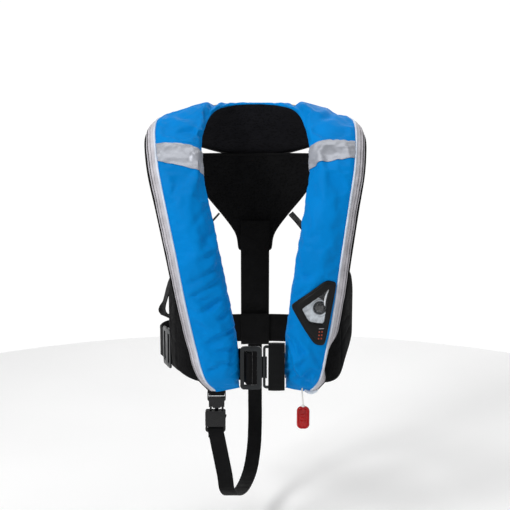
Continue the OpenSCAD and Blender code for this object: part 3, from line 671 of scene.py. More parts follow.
# Creases seen from the front: from x, z to x, z, half width and depth; 0 is the collar
CREASES = {
    -1: [(-120, 5, -110, 11, 4, 1.6), (-110, 11, -95, 10, 4, 2.6), (-95, 10, -80, 3, 4, 1.6),
         (-112, -15, -76, -26, 8, -0.7), (-104, -210, -76, -196, 5, 1.0), (-76, -196, -48, -178, 5, 1.4),
         (-98, -230, -50, -202, 5, 1.3), (-84, -253, -42, -228, 5.5, 1.5), (-90, -176, -58, -163, 5, 0.8),
         (-66, -295, -44, -285, 5, 1.4), (-44, -285, -26, -279, 4, 1.6), (-64, -314, -28, -309, 4.5, 1.5),
         (-74, -346, -50, -335, 5, 1.3), (-54, -262, -34, -248, 4, 1.2), (-95, -262, -70, -282, 6, 0.9),
         (-60, -330, -30, -332, 4, 1.2), (-90, -120, -70, -96, 7, 0.7), (-82, -150, -60, -128, 6, 0.7)],
    1: [(58, 36, 84, 52, 5, 1.2), (84, 52, 112, 46, 6, 0.8), (70, -4, 92, 12, 7, 0.8),
        (46, -300, 51, -320, 4, 1.8), (51, -320, 54, -350, 6, 1.8), (62, -339, 78, -323, 5, 1.5),
        (66, -360, 86, -343, 5, 1.5), (86, -343, 98, -347, 5, 1.2), (78, -306, 64, -325, 5, 1.1),
        (104, -322, 113, -312, 4, 1.2), (74, -366, 77, -349, 4, 1.6), (96, -347, 104, -364, 4.5, 1.4),
        (90, -190, 62, -205, 6, 0.7), (62, -262, 50, -280, 5, 1.1), (84, -120, 70, -140, 7, 0.6),
        (90, -318, 100, -334, 4, 1.0), (58, -297, 76, -319, 6, 2.0), (54, -338, 62, -352, 6, 1.6),
        (62, -352, 80, -369, 6, 2.0), (84, -350, 82, -372, 5, 1.3)],
    0: [(104, 30, 128, 38, 6, 1.4), (-104, 32, -130, 36, 6, 1.4), (60, 62, 74, 44, 6, 1.8),
        (-58, 64, -74, 46, 6, 1.8), (-124, 8, -112, 14, 4, 1.2), (-112, 14, -98, 13, 4, 1.7),
        (-98, 13, -84, 6, 4, 1.2)],
}
FOLD_DEPTH, FOLD_WIDTH = 3.0, 0.75  # factors on the depths and widths above
DEEPEST = 4.6  # no fold is pressed in further than this


def crease(points, normals, marks, fade):
    """Presses folds into points along their normals, each with a small ridge beside it."""
    moved = np.zeros(len(points))
    for x0, z0, x1, z1, width, depth in marks:
        width, depth = FOLD_WIDTH * width, FOLD_DEPTH * depth
        d = np.array([x1 - x0, z1 - z0], float)
        rel = points[:, [0, 2]] - (x0, z0)
        share = rel @ d / (d @ d)
        t = np.clip(share, 0, 1)
        off = rel - t[:, None] * d
        beside = off @ np.array([-d[1], d[0]]) / np.linalg.norm(d)
        beyond = np.abs(share - t) * np.linalg.norm(d)
        end = 0.35 + 0.65 * np.sin(np.pi * np.clip(t, 0.02, 0.98)) ** 0.7
        valley = np.exp(-(np.linalg.norm(off, axis=1) / width) ** 2)
        ridge = np.exp(-((beside - 1.7 * width) / width) ** 2 - (beyond / width) ** 2)
        moved += depth * end * (0.6 * ridge - valley)
    return points + normals * (np.maximum(moved, -DEEPEST) * fade)[:, None]


def simulate(made, pins, frames=14, pressure=3.0, grow=0.03, cap=5.0):
    """Cloth under slight inner pressure, pinned by weight; no point moves more than cap millimetres."""
    rest = np.array([v.co for v in made.data.vertices], float)
    group = made.vertex_groups.new(name="pin")
    for i, w in enumerate(pins):
        if w > 0:
            group.add([i], float(w), "REPLACE")
    modifier = made.modifiers.new("cloth", "CLOTH")
    s = modifier.settings
    s.quality, s.mass, s.air_damping = 7, 0.15, 3
    s.tension_stiffness = s.compression_stiffness = 25
    s.shear_stiffness, s.bending_stiffness = 12, 1.5
    s.use_pressure, s.uniform_pressure_force = True, pressure
    s.vertex_group_mass, s.shrink_min = "pin", -grow
    s.effector_weights.gravity = 0.3
    modifier.collision_settings.use_collision = False
    modifier.point_cache.frame_start, modifier.point_cache.frame_end = 1, frames
    for f in range(1, frames + 1):
        scene.frame_set(f)
    graph = bpy.context.evaluated_depsgraph_get()
    settled = np.array([v.co for v in made.evaluated_get(graph).data.vertices], float)
    made.modifiers.remove(modifier)
    made.vertex_groups.clear()
    move = settled - rest
    length = np.linalg.norm(move, axis=1, keepdims=True)
    return (rest + move * np.minimum(1, cap * MM / np.maximum(length, 1e-9))) / MM


class Skin:
    """A grid of points over stations and angles, with lookup by path value and angle."""

    def __init__(self, stations, angles, points):
        self.st, self.angles, self.p = stations, np.asarray(angles), points
        gu, ga = np.gradient(points, axis=0), np.gradient(points, axis=1)
        n = unit(np.cross(gu, ga))
        centre = stations.mid + stations.n * (stations.t * WIDEST)[:, None]
        self.n = n * np.where(np.sum(n * (points - centre[:, None]), -1, keepdims=True) < 0, -1, 1)

    def at(self, row, angle, lift=0.0):
        """Points at fractional rows and angles, lifted off the skin."""
        row, angle = np.broadcast_arrays(np.asarray(row, float), np.asarray(angle, float))
        col = np.interp(angle, self.angles, np.arange(len(self.angles)))
        i, j = (np.minimum(v.astype(int), count - 2) for v, count in zip((row, col), self.p.shape))
        a, b = (row - i)[..., None], (col - j)[..., None]

        def mix(g):
            near, far = (g[i, j + k] * (1 - a) + g[i + 1, j + k] * a for k in (0, 1))
            return near * (1 - b) + far * b
        return mix(self.p) + unit(mix(self.n)) * np.asarray(lift)[..., None]

    def sew(self, thread, row, angle, lift, *stitch):
        """Stitches along a line of the skin."""
        line = self.at(row, angle, lift)
        thread.row(line, self.at(row, angle, lift + 1) - line, *stitch)

    def row(self, u):
        """The fractional row of a path value, on a skin of one side."""
        order = np.argsort(self.st.u)
        return np.interp(u, self.st.u[order], order.astype(float))


# A cover runs from the piping, at the first angle of a cross-section, round to its inner seam
COVER_ANGLES = even_angles(54.5, 200, 3.6)
SECTION = along(Stations([3.0], 1).at(COVER_ANGLES, 0)[0])
WINDOW_FRONT = -125  # the window lies wholly in front of this y


def turned_in(row, stations, end, reach, shares):
    """Rows that draw an open end in to the seam where cover and lining meet."""
    normal, run = stations.n[end], stations.run[end]
    level = (row - stations.mid[end]) @ normal
    seam = WIDEST * stations.t[end] - 1.0
    return [row + normal * ((seam - level) * (1 - math.cos(k)))[:, None] - run * reach * math.sin(k)
            for k in math.pi / 2 * np.array(shares)]


def make_cover(name, node, stations, marks, closed_end):
    """A lobe or collar cover: surface grid, cloth simulation, creases, thickness. It returns its skin."""
    n, m = len(stations.u), len(COVER_ANGLES)

    def under_window(points, outline, grow):
        inside = in_outline(points[:, 0], points[:, 2], outline, grow) & (points[:, 1] < WINDOW_FRONT)
        return inside & (node == "right_lobe_cover")

    flat = stations.at(COVER_ANGLES, 0.2).reshape(-1, 3)
    pins = np.zeros((n, m))
    pins[:, [0, -1]] = 1
    pins[:, [1, -2]] = 0.35
    pins[[0, -1]] = 1
    pins[[1, -2]] = 0.4
    pins = np.maximum(pins, under_window(flat, WINDOW_OUTER, 2.5).reshape(n, m))
    uv = np.stack(np.broadcast_arrays(along(stations.mid)[:, None], SECTION[None]), -1)
    loose = piece(name, flat, grid_faces(n, m), "cover_blue", None, uv=uv * MM)
    flat = simulate(loose, pins.ravel())
    bpy.data.objects.remove(loose)
    normals = Skin(stations, COVER_ANGLES, flat.reshape(n, m, 3)).n.reshape(-1, 3)
    fade = ((1 - pins) * from_edges(n, 4)[:, None] * from_edges(m, 3)[None]).ravel()
    fade = np.where(under_window(flat, WINDOW_OUTER, 7), 0, fade)
    flat = crease(flat, normals, marks, fade)
    ripple = np.array([fractal(p, 26, 3.1) * 1.5 + fractal(p, 11, 1.7) * 0.5 for p in flat])
    rows = (flat + normals * (ripple * fade)[:, None]).reshape(n, m, 3)
    skin = Skin(stations, COVER_ANGLES, rows)
    if closed_end:
        rows = np.concatenate([turned_in(rows[0], stations, 0, 4.0, (0.25, 0.5, 0.75, 1.0))[::-1], rows])
        uv = np.concatenate([np.stack([uv[0] - (3 * k, 0) for k in (4, 3, 2, 1)]), uv])
    faces = grid_faces(len(rows), m)
    gone = under_window(rows.reshape(-1, 3)[np.array(faces)].mean(1), WINDOW_INNER, 4.5)
    made = piece(name, rows, [f for f, g in zip(faces, gone) if not g], "cover_blue", None, uv=uv * MM)
    made.modifiers.new("smooth", "SUBSURF").levels = 1
    bake(made)
    thick = made.modifiers.new("thick", "SOLIDIFY")
    thick.thickness, thick.offset = 0.0011, -1
    bake(made)
    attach(made, "pack")
    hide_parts(node)
    return skin


LOBE_U, COLLAR_U = even_u(0, SEAM, 3.6), even_u(SEAM, NAPE, 3.8)
WORDS = {-1: "left", 1: "right"}
lobe_skins = {side: make_cover(f"{word}_lobe_cloth", f"{word}_lobe_cover", Stations(LOBE_U, side),
                               CREASES[side], True)
              for side, word in WORDS.items()}
collar_skin = make_cover("collar_cloth", "collar_cover", both_sides(COLLAR_U), CREASES[0], False)


# ---------------------------------------------------------------- more helpers
def border(grid):
    """The edge of a grid, once round."""
    return np.concatenate([grid[:-1, 0], grid[-1, :-1], grid[:0:-1, -1], grid[0, :0:-1]])


def slab(name, top, bottom, slot_name, replaces=(), sharp=40):
    """A closed sheet between two grids of points."""
    n, m = top.shape[:2]
    k = n * m
    faces = grid_faces(n, m) + [tuple(v + k for v in reversed(f)) for f in grid_faces(n, m)]
    ids = border(np.arange(k).reshape(n, m).T).tolist()
    faces += [(a, b, b + k, a + k) for a, b in zip(ids, ids[1:] + ids[:1])]
    uv = uv_grid(along(top[n // 2]), along(top[:, m // 2]))
    return piece(name, [top, bottom], faces, slot_name, "pack", replaces, [uv, uv], sharp)


def webbing(name, path, wide, width, thick, node, body, step):
    """Flat webbing along a path, with thin selvedges and, if it is long, a barely uneven lie."""
    path = resample(path, step)
    t, s = tangents(path), along(path)
    wide = np.broadcast_to(np.asarray(wide, float), path.shape)
    x = unit(wide - t * np.sum(wide * t, 1, keepdims=True))
    n = np.cross(t, x)
    selvedge = [(-0.5 * width, 0), (-0.5 * width + 0.25, 0.42), (-0.5 * width + 1.1, 0.5)]
    across = np.linspace(-0.5 * width + 2.2, 0.5 * width - 2.2, 7)
    ribs = [(q, 0.46 if k % 2 else 0.5) for k, q in enumerate(across)]
    top = selvedge + ribs + [(-q, h) for q, h in reversed(selvedge)]
    ring = top + [(q, -h) for q, h in reversed(top[1:-1])]
    wave = 0.2 if step > 1.3 else 0.0
    push = wave * np.array([fractal(p, 34, 5.5) for p in path]) * np.minimum(1, np.minimum(s, s[-1] - s) / 10)
    rings = np.stack([path + x * q + n * (h * thick + push[:, None]) for q, h in ring], 1)
    tube(name, rings, "webbing_black", body, (node,), uv_grid([q for q, h in ring], s), 50)
    return path, x, n


# A stitch has its two ends in the cloth, points 0 and 5, and a ring of four points between them
STITCH_FACES = [(0, p, p % 4 + 1) for p in (1, 2, 3, 4)] + [(5, p % 4 + 1, p) for p in (1, 2, 3, 4)]


class Thread:
    """Collects stitches of one colour on one body into a single piece."""

    def __init__(self):
        self.points, self.faces = [], []

    def row(self, path, normals, pitch=3.1, length=2.2, radius=0.3):
        path = np.asarray(path, float)
        s = along(path)
        if s[-1] < pitch:
            return
        at = np.arange(pitch / 2, s[-1], pitch)
        a, b, c = (on_path(path, s, at + shift) for shift in (-length / 2, length / 2, 0))
        n = unit(on_path(np.broadcast_to(np.asarray(normals, float), path.shape), s, at))
        side = unit(np.cross(b - a, n))
        shape = [a - n * 0.15, c + n * (radius + 0.05), c + side * radius, c - n * radius * 0.5,
                 c - side * radius, b - n * 0.15]
        first = len(self.points)
        self.points += list(np.stack(shape, 1).reshape(-1, 3))
        self.faces += [tuple(first + 6 * k + v for v in face) for k in range(len(at))
                       for face in STITCH_FACES]

    def box(self, centre, x, y, n, w, h):
        """A box of stitches with a cross in it."""
        x, y, n = unit(x), unit(y), unit(n)
        c = [centre + x * w / 2 * i + y * h / 2 * j for i, j in ((-1, -1), (1, -1), (1, 1), (-1, 1))]
        for i, j in ((0, 1), (1, 2), (2, 3), (3, 0), (0, 2), (1, 3)):
            self.row(np.linspace(c[i], c[j], 8), n, 2.4, 1.8, 0.28)

    def make(self, name, slot_name, body="pack"):
        piece(name, self.points, self.faces, slot_name, body, sharp=80)


def bevelled(name, node, width, body):
    """A copy of a hard CAD node with its edges rounded; it stands for the node."""
    mesh = frame["nodes"][node].data.copy()
    mesh.name = name
    b = bmesh.new()
    b.from_mesh(mesh)
    bmesh.ops.remove_doubles(b, verts=b.verts, dist=2e-6)
    bmesh.ops.dissolve_limit(b, angle_limit=math.radians(0.8), verts=b.verts, edges=b.edges)
    edges = [e for e in b.edges if len(e.link_faces) == 2 and e.calc_face_angle(0) > math.radians(28)]
    bmesh.ops.bevel(b, geom=edges, offset=width * MM, segments=2, profile=0.5, affect="EDGES",
                    clamp_overlap=True)
    bmesh.ops.recalc_face_normals(b, faces=b.faces)
    b.to_mesh(mesh)
    b.free()
    mesh.shade_smooth()
    mesh.set_sharp_from_angle(angle=math.radians(32))
    made = bpy.data.objects.new(name, mesh)
    scene.collection.objects.link(made)
    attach(made, body)
    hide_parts(node)


# ---------------------------------------------------------------- zip and piping
def line_at(stations, angle, depth):
    """A line along the pack, and the ways out of its surface."""
    line = stations.at([angle], depth)[:, 0]
    return line, stations.at([angle], depth - 1)[:, 0] - line


def sweep_round(name, stations, outline, slot_name, replaces=(), offset=0.0):
    """A closed layer round the pack: outline holds (angle, depth) pairs."""
    grid = stations.at(*zip(*outline)) + offset
    uv = uv_grid(along(grid[len(grid) // 2]), along(grid[:, grid.shape[1] // 4]))
    tube(name, grid, slot_name, "pack", replaces, uv)


ROUND = all_round(2.6)
pale, dark, blue = Thread(), Thread(), Thread()
s_round = along(ROUND.at([24], 0)[:, 0])
pipe_r = 1.75 + 0.07 * np.sin(s_round * 2 * np.pi / 3.2)
pipe = rings_round(ROUND.at([52.2], 0.35)[:, 0], ROUND.s, ROUND.n, pipe_r, 12)
tube("edge_piping_cord", pipe, "piping_silver", "pack", ("edge_piping",), uv_grid(circle(12) * 1.7, s_round))

# The two tapes, with grooves along them and a slight wave
UPPER_TAPE = [(27, 0.2), (28, -0.8), (30.5, -1.0), (33, -0.5), (35, 0.45), (37.5, 0.5), (39.5, -0.55),
              (42.5, -0.6), (46, -0.1), (50, 0.2), (50, 1.2), (46, 1.0), (38, 1.2), (34, 1.2), (30, 0.7),
              (27.5, 0.9)]
LOWER_TAPE = [(2.4, 0.9), (2.4, 0.0), (5, -0.3), (8, -0.5), (10, 0.4), (12.5, 0.4), (14.5, -0.5),
              (17.5, -0.95), (19.6, -0.8), (20.6, 0.2), (20.2, 0.9), (17, 0.7), (12, 1.2), (8, 1.2)]
zip_wave = 0.8 * np.array([noise.noise(Vector((s / 22, 1.5, 0.2))) for s in s_round])
wave_off = zip_wave[:, None] * (ROUND.n * 0.45 - ROUND.s * 0.9)
sweep_round("zip_tape_upper", ROUND, UPPER_TAPE, "zip_tape", ("zip_upper_tape",), wave_off[:, None])
sweep_round("zip_tape_lower", ROUND, LOWER_TAPE, "zip_tape", ("zip_lower_tape",), wave_off[:, None])
for thread, angle, depth in ((dark, 36.2, 0.25), (pale, 46.5, -0.1), (dark, 11.2, 0.15), (pale, 4.6, -0.2)):
    line, out = line_at(ROUND, angle, depth)
    thread.row(line + wave_off, out, 2.4, 2.1, 0.4 if thread is dark else 0.27)

# Coil teeth: two interlocked rows of short bars across the seam
at = np.arange(1, s_round[-1] - 1, 1.7)
near, far = (on_path(ROUND.at([angle], -0.3)[:, 0] + wave_off, s_round, at) for angle in (22.1, 25.6))
lift = on_path(line_at(ROUND, 24, 0)[1], s_round, at)
run = tangents(near)
teeth_points, teeth_faces = [], []
for k, across in enumerate(far - near):
    start, stop = (0.12, 1.22) if k % 2 else (-0.22, 0.88)
    p, q = near[k] + across * start, near[k] + across * stop
    teeth_faces += ring_faces(3, 4, base=len(teeth_points))
    for c, r in ((p, 0.42), (p * 0.6 + q * 0.4, 0.6), (q, 0.42)):
        teeth_points += [c + run[k] * r, c + lift[k] * r * 1.3, c - run[k] * r, c - lift[k] * r]
piece("zip_coil", teeth_points, teeth_faces, "zip_teeth", "pack", ("zip_teeth",),
      np.zeros((len(teeth_points), 2)))

# The tape's rolled end under the corner of the lobe that holds the inflator
TAIL = [(98, -108, -382.5), (94.5, -111.5, -386), (89, -114.5, -388), (84, -115.6, -387.2),
        (79.6, -115.8, -385), (77.6, -115.4, -382.4), (77.8, -114.8, -379.6)]
tail = resample(TAIL, count=26)
tail_x = unit(np.cross(tangents(tail), (0, 1, 0.2)))
tail_r = 2.5 * np.sin(np.pi * np.linspace(0.28, 0.9, 26)) ** 0.5
folds = 1 + 0.14 * np.cos(3 * circle(16) + np.linspace(0, 2.5, 26)[:, None])
rolled = rings_round(tail, tail_x, np.cross(tangents(tail), tail_x), tail_r[:, None] * folds, 16, 1.15, 0.8)
tube("zip_tape_end", rolled, "piping_silver", uv=uv_grid(circle(16) * 2, along(tail)))


# ---------------------------------------------------------------- lining, its edge and the covers' seams
RIM = 3.0
CHANNELS = np.array([202, 226, 250, 274, 298, 322, 346])
LINING_ANGLES = np.concatenate([even_angles(202, 300, 4.2), even_angles(300, 359, 3.2)[1:]])


def rim(a):
    return RIM * np.clip((a - 315) / 30, 0, 1)


def puff(a):
    """Padding between the sewn channels of the lining."""
    i = np.clip(np.searchsorted(CHANNELS, a) - 1, 0, len(CHANNELS) - 2)
    t = np.clip((a - CHANNELS[i]) / (CHANNELS[i + 1] - CHANNELS[i]), 0, 1)
    return 0.9 * np.sin(np.pi * t) ** 0.6


lining_st = all_round(4.0)
body_side = lining_st.at(LINING_ANGLES, -rim(LINING_ANGLES) - puff(LINING_ANGLES) + 0.6)
rows = np.concatenate([body_side, lining_st.at(LINING_ANGLES, 2.0)[:, ::-1]], 1)
rows = rows + lining_st.n[:, None] * np.array([[[0.5 * fractal(p, 30, 7.7)] for p in row] for row in rows])
first, last = (turned_in(rows[end], lining_st, end, 3.4, (0.3, 0.65, 1.0)) for end in (0, -1))
rows = np.concatenate([first[::-1], rows, last])
lining = tube("mesh_lining", rows, "lining_black", "pack",
              ("left_lobe_lining", "right_lobe_lining", "collar_lining"),
              uv_grid(along(rows[len(rows) // 2]), along(rows[:, 0])), 50)
for angle in CHANNELS[1:-1]:
    dark.row(*line_at(lining_st, angle, 0.45), 3.4, 2.4, 0.3)
BINDING = [(334, -3.2), (342, -3.75), (350, -3.85), (357, -3.8), (360.5, -3.1), (361.5, -3.2), (361.2, -0.9),
           (359.9, -0.9), (360, -3.2), (359, -2.4), (350, -2.6), (342, -2.5)]
sweep_round("rim_binding", all_round(3.0), BINDING, "webbing_black")

# Stitching beside the piping and on the inner seam of the covers
for skin, count in ((lobe_skins[-1], 160), (lobe_skins[1], 160), (collar_skin, 220)):
    for angle in (58.5, 196):
        skin.sew(blue, np.linspace(1, len(skin.st.u) - 2, count), angle, 0.15, 3.0, 2.1, 0.25)

# ---------------------------------------------------------------- reflective bands
# Path values of a band's lower and upper edge at the outer edge of the lobe, then at the inner
BANDS = {-1: (6.26, 7, 5.95, 6.86), 1: (6.36, 7.12, 6.12, 7.06)}
BAND_ROWS = 24
for side, (low, high, low_in, high_in) in BANDS.items():
    skin = Skin(Stations(np.concatenate([LOBE_U, COLLAR_U[1:]]), side), COVER_ANGLES,
                np.concatenate([lobe_skins[side].p, collar_skin.p[::side][1:len(COLLAR_U)]]))
    angles = even_angles(56, 198, 2.4)
    q = np.minimum(1, (angles - 54.5) / 90)
    t = np.linspace(0, 1, BAND_ROWS)[:, None]
    at = skin.row((low + (low_in - low) * q) * (1 - t) + (high + (high_in - high) * q) * t)
    wrinkle = np.array([[noise.fractal(Vector((v * 0.05 + side, w * 0.042, 0.4)), 0.8, 2.0, 4)
                         for w in angles] for v in np.arange(BAND_ROWS) * 1.6])
    top = skin.at(at, angles, 1.0 + np.clip(wrinkle, -0.35, 1) * 1.1 * from_edges(BAND_ROWS, 3)[:, None])
    slab(f"{WORDS[side]}_reflective_tape", top, skin.at(at, angles, 0.5), "reflective",
         (f"{WORDS[side]}_reflective_band",))
    share, places = np.linspace(0, 1, 70), np.linspace(0, 1, len(angles))
    for i in (2, BAND_ROWS - 3):
        skin.sew(pale, np.interp(share, places, at[i]), np.interp(share, places, angles), 1.15,
                 2.6, 1.9, 0.25)

pale.make("stitches_pale", "piping_silver")
dark.make("stitches_dark", "webbing_black")
blue.make("stitches_blue", "cover_blue")

# ---------------------------------------------------------------- window over the inflator
LOBE_THICK = 38  # at the window


def over_cover(x, z, lift):
    """Points above the cover near the window, for places seen from the front."""
    x, z = np.asarray(x, float), np.asarray(z, float)
    level = z
    for _ in range(2):
        # The rows 2, 3 and 4 of the pack's path lie at heights of -297, -236 and -166
        k = Stations(np.where(level < -236, 2 + (level + 297) / 61, 3 + (level + 236) / 70), 1)
        sideways = (x - k.mid[:, 0] - k.n[:, 0] * LOBE_THICK) / k.s[:, 0]
        level = z - k.s[:, 2] * sideways - k.n[:, 2] * LOBE_THICK
    c = np.minimum(1, (np.abs(sideways) / k.half) ** (1 / 0.9))
    h = WIDEST * k.t + (1 - WIDEST) * k.t * (1 - c * c) ** 0.45 + lift
    return k.mid + k.s * sideways[:, None] + k.n * h[:, None]


def rounded_loop(outline, per_edge=12, rounds=9):
    """Points round an outline of straight edges, with its corners rounded off."""
    p = np.array(outline, float)
    edges = [a + (b - a) * (np.arange(per_edge) / per_edge)[:, None] for a, b in zip(p, np.roll(p, -1, 0))]
    return relax(np.concatenate(edges), rounds)


frame_out, frame_in = rounded_loop(WINDOW_OUTER), rounded_loop(WINDOW_INNER)
# The frame's section: shares of the way from its outer edge to its inner one, and heights over the cover
PROFILE = [(-0.02, -0.2), (-0.035, 0.9), (-0.01, 2.0), (0.05, 2.8), (0.12, 3.15), (0.17, 3.15), (0.2, 2.7),
           (0.235, 2.7), (0.265, 3.15), (0.45, 3.4), (0.7, 3.45), (0.84, 3.3), (0.92, 2.9),
           (0.98, 2.1), (1.01, 0.9), (1.03, -2.2), (0.95, -2.2), (0.8, 0.1), (0.4, 0.2)]
frame_rings = np.stack([over_cover(*(frame_out * (1 - t) + frame_in * t).T, lift) for t, lift in PROFILE], 1)
tube("window_rim", frame_rings, "window_rubber", "pack", ("window_frame",), sharp=70, closed=True)

PANE_Z, PANE_Y, PANE_LEAN = -242, -152.6, math.radians(2)


def pane_y(z):
    return PANE_Y + (z - PANE_Z) * math.sin(PANE_LEAN)


def fan_sheet(name, loop, y_at, thick, slot_name, replaces, rings=9):
    """A thin sheet inside a loop of x and z, in rings round its middle."""
    c = loop.mean(0)
    points = []
    for back in (0, thick):
        points.append((c[0], y_at(c[0], c[1], 0) + back, c[1]))
        for share in np.arange(1, rings + 1) / rings:
            points += [(x, y_at(x, z, share) + back, z) for x, z in c + (loop - c) * share]
    m, half = len(loop), 1 + rings * len(loop)
    faces = []
    for base in (0, half):
        faces += [(base, base + 1 + j, base + 1 + (j + 1) % m) for j in range(m)]
        faces += ring_faces(rings, m, caps=False, base=base + 1)
    last = 1 + (rings - 1) * m
    faces += [(last + j, last + (j + 1) % m, half + last + (j + 1) % m, half + last + j) for j in range(m)]
    piece(name, points, faces, slot_name, "pack", replaces, sharp=60)


def film_y(x, z, share):
    """The pane's domed and slightly uneven face, at a share of the way from its middle to its edge."""
    return pane_y(z) - 0.3 - 1.3 * (1 - share * share) + 0.35 * fractal((x, 0, z), 13, 4.4) * (1 - share)


frame_mid = frame_in.mean(0)
fan_sheet("window_film", frame_mid + (frame_in - frame_mid) * 0.985, film_y, 0.5, "window_clear",
          ("window_pane",))

# A pale tray behind the pane, with a well round the sensor cap
WELL_R = 12.8
WELL_SECTION = [(10.2, 9.5), (10.3, 6.4), (10.6, 5.2), (11.2, 4.5), (12.0, 4.5), (12.5, 5.2), (WELL_R, 5.9)]
cap_lo, cap_hi = (np.array(v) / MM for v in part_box("sensor_cap"))
well = (cap_lo + cap_hi)[[0, 2]] / 2
direction = unit(frame_in - well)
reach = np.linalg.norm(frame_in - well, axis=1) + 3.4
tray_rings = []
for radius, depth in WELL_SECTION:
    q = well + direction * np.minimum(radius, reach * (0.8 + 0.2 * radius / WELL_R))[:, None]
    tray_rings.append(np.stack([q[:, 0], pane_y(q[:, 1]) + depth, q[:, 1]], 1))
for t in np.linspace(0.12, 1, 10):
    q = well + direction * np.minimum(WELL_R + (reach - WELL_R).clip(0) * t, reach)[:, None]
    uneven = 2.2 * np.array([fractal((a, 3, b), 8, 2.2) for a, b in q]) * math.sin(math.pi * t)
    tray_rings.append(np.stack([q[:, 0], pane_y(q[:, 1]) + 6.0 + uneven - 3.2 * t ** 6, q[:, 1]], 1))
tray = np.stack(tray_rings, 1)
tray = np.concatenate([tray, tray[:, ::-1] + [0, 0.7, 0]], 1)
tube("window_tray", tray, "tray_silver", sharp=50, closed=True)

# A dark flap over the tray's upper corner, which is painted shade: a dark sheet for the shaded band behind
# the pane. A white ridge along its fold is a painted highlight for the pane's bright reflection
SHADE_FLAP_EDGES = [
    [(70, -247), (76, -241), (81, -236.5), (86, -232), (90, -229.5), (94, -228.8), (98.5, -230),
     (103, -234.5), (106.8, -243), (108.5, -252)],
    [(69, -243), (76, -237.5), (82, -232.5), (88, -228), (94, -223.5), (100, -219), (106, -214),
     (112.5, -213), (113, -226), (111, -250)]]
low_edge, high_edge = (resample(line, count=22) for line in SHADE_FLAP_EDGES)
shade_flap = np.stack([low_edge * (1 - t) + high_edge * t for t in np.linspace(0, 1, 7)])
shade_flap_y = pane_y(shade_flap[..., 1]) + 3.1 + 0.9 * np.linspace(1, 0, 7)[:, None] ** 2
front = np.stack([shade_flap[..., 0], shade_flap_y, shade_flap[..., 1]], -1)
# Painted shade: this dark sheet stands where the pane only shows a shaded band
slab("window_painted_shade", front, front + (0, 0.7, 0), "gasket")
# Painted highlight: a white ridge that stands in for the bright reflection stroke on the pane
ridge = resample([(104.6, -240.5), (104.4, -236), (105.2, -230), (107, -223), (110, -216.5)], count=14)
painted_highlight_at = np.column_stack([ridge[:, 0], pane_y(ridge[:, 1]) + 2.2, ridge[:, 1]])
painted_highlight_r = 0.25 + 1.15 * np.sin(np.pi * np.linspace(0.12, 0.93, 14)) ** 0.8
tube("window_painted_highlight", rings_round(painted_highlight_at, SIDEWAYS, BACKWARD, painted_highlight_r, 10, tall=0.8), "cartridge_white")

# Small raised marks on the frame's lower part, and a thin line above them
mark_points, mark_faces = [], []
for column in range(2):
    for row in range(3):
        x0, z0 = 96.4 + 4.2 * column - 0.5 * row, -279.6 - 5.4 * row
        mark_faces += ring_faces(3, 16, base=len(mark_points))
        for w, h, lift in ((1.9, 2.4, 3.2), (1.9, 2.4, 3.65), (1.4, 1.9, 3.75)):
            ring = np.array(rounded_outline(w, h, 0.4, 3)) + (x0, z0)
            mark_points += over_cover(ring[:, 0], ring[:, 1], lift).tolist()
piece("window_marks", mark_points, mark_faces, "mark_orange")
LINE_SECTION = [(-274.9, 3.2), (-274.9, 3.6), (-274.2, 3.6), (-274.2, 3.2)]
line_x = np.linspace(95.8, 103.4, 9)
line_mark = np.stack([over_cover(line_x, np.full(9, z), lift) for z, lift in LINE_SECTION], 1)
tube("window_mark_line", line_mark, "zip_tape")


# ---------------------------------------------------------------- webbing
def level(path, z):
    path = np.asarray(path, float)
    return np.column_stack([path[:, 0], path[:, 1], np.full(len(path), float(z))])


BELT_Z, BUCKLE_Z = -342, -342.7
BELT_PATH = [(-30, -106.5), (-55, -103.8), (-80, -99.6), (-104, -90), (-121, -67), (-131.5, -42.4),
             (-139.1, -22.3), (-146.9, -1.7), (-155.2, 20.2), (-160, 38), (-150, 70), (-114, 98), (-62, 112),
             (0, 118), (62, 114), (108, 96), (132, 64), (141, 26), (142, -12), (137, -46), (128, -72),
             (115, -88), (98, -97.2), (75, -101.5), (47, -105.5)]
BUCKLE_LOOP = [(-36, -109.4), (-27, -111), (-20, -118), (-15.2, -126), (-14, -132), (-12.4, -136.4),
               (-9, -138), (-5.6, -136.6), (-4.4, -132), (-5.2, -127.2), (-10, -122),
               (-17, -114.4), (-25, -108.8)]
RING_LOOP = [(42.5, -134.4), (36, -134.6), (30, -134.6), (27.8, -133.6), (27.1, -131.5), (27.8, -129.4),
             (30, -128.4), (36, -128.4), (42.5, -128.6)]
BACK_PATH = [(0, 115.4, -150), (0, 115, -200), (0, 117.5, -260), (0, 121.4, -306), (0, 121.6, -340),
             (0, 121.4, -366), (0, 119.6, -371), (0, 115.6, -371.4), (0, 113.2, -366), (0, 113, -340),
             (0, 113, -316)]
LEFT_REAR = [(-150, 34, -302), (-154, 22, -286), (-149, 24, -266), (-139, 52, -232), (-112, 88, -190),
             (-82, 107, -158), (-62, 112.4, -136)]
RIGHT_REAR = [(135, 34, -302), (141, 22, -286), (141, 24, -266), (134, 52, -232), (110, 88, -190),
              (82, 107, -158), (62, 112.4, -136)]
PLUG = np.array([-60.6, -97, -388])
TAB = [(0, 1.4, 46), (0, 0.4, 20), (0, -2.6, 7), (0, -4.2, 1), (0, -4.4, -5), (0, -3, -8.4), (0, 0, -9.4),
       (0, 3, -8.4), (0, 4.4, -5), (0, 4.2, 1), (0, 3.6, 8), (0, 3.4, 20), (0, 3.4, 40)]
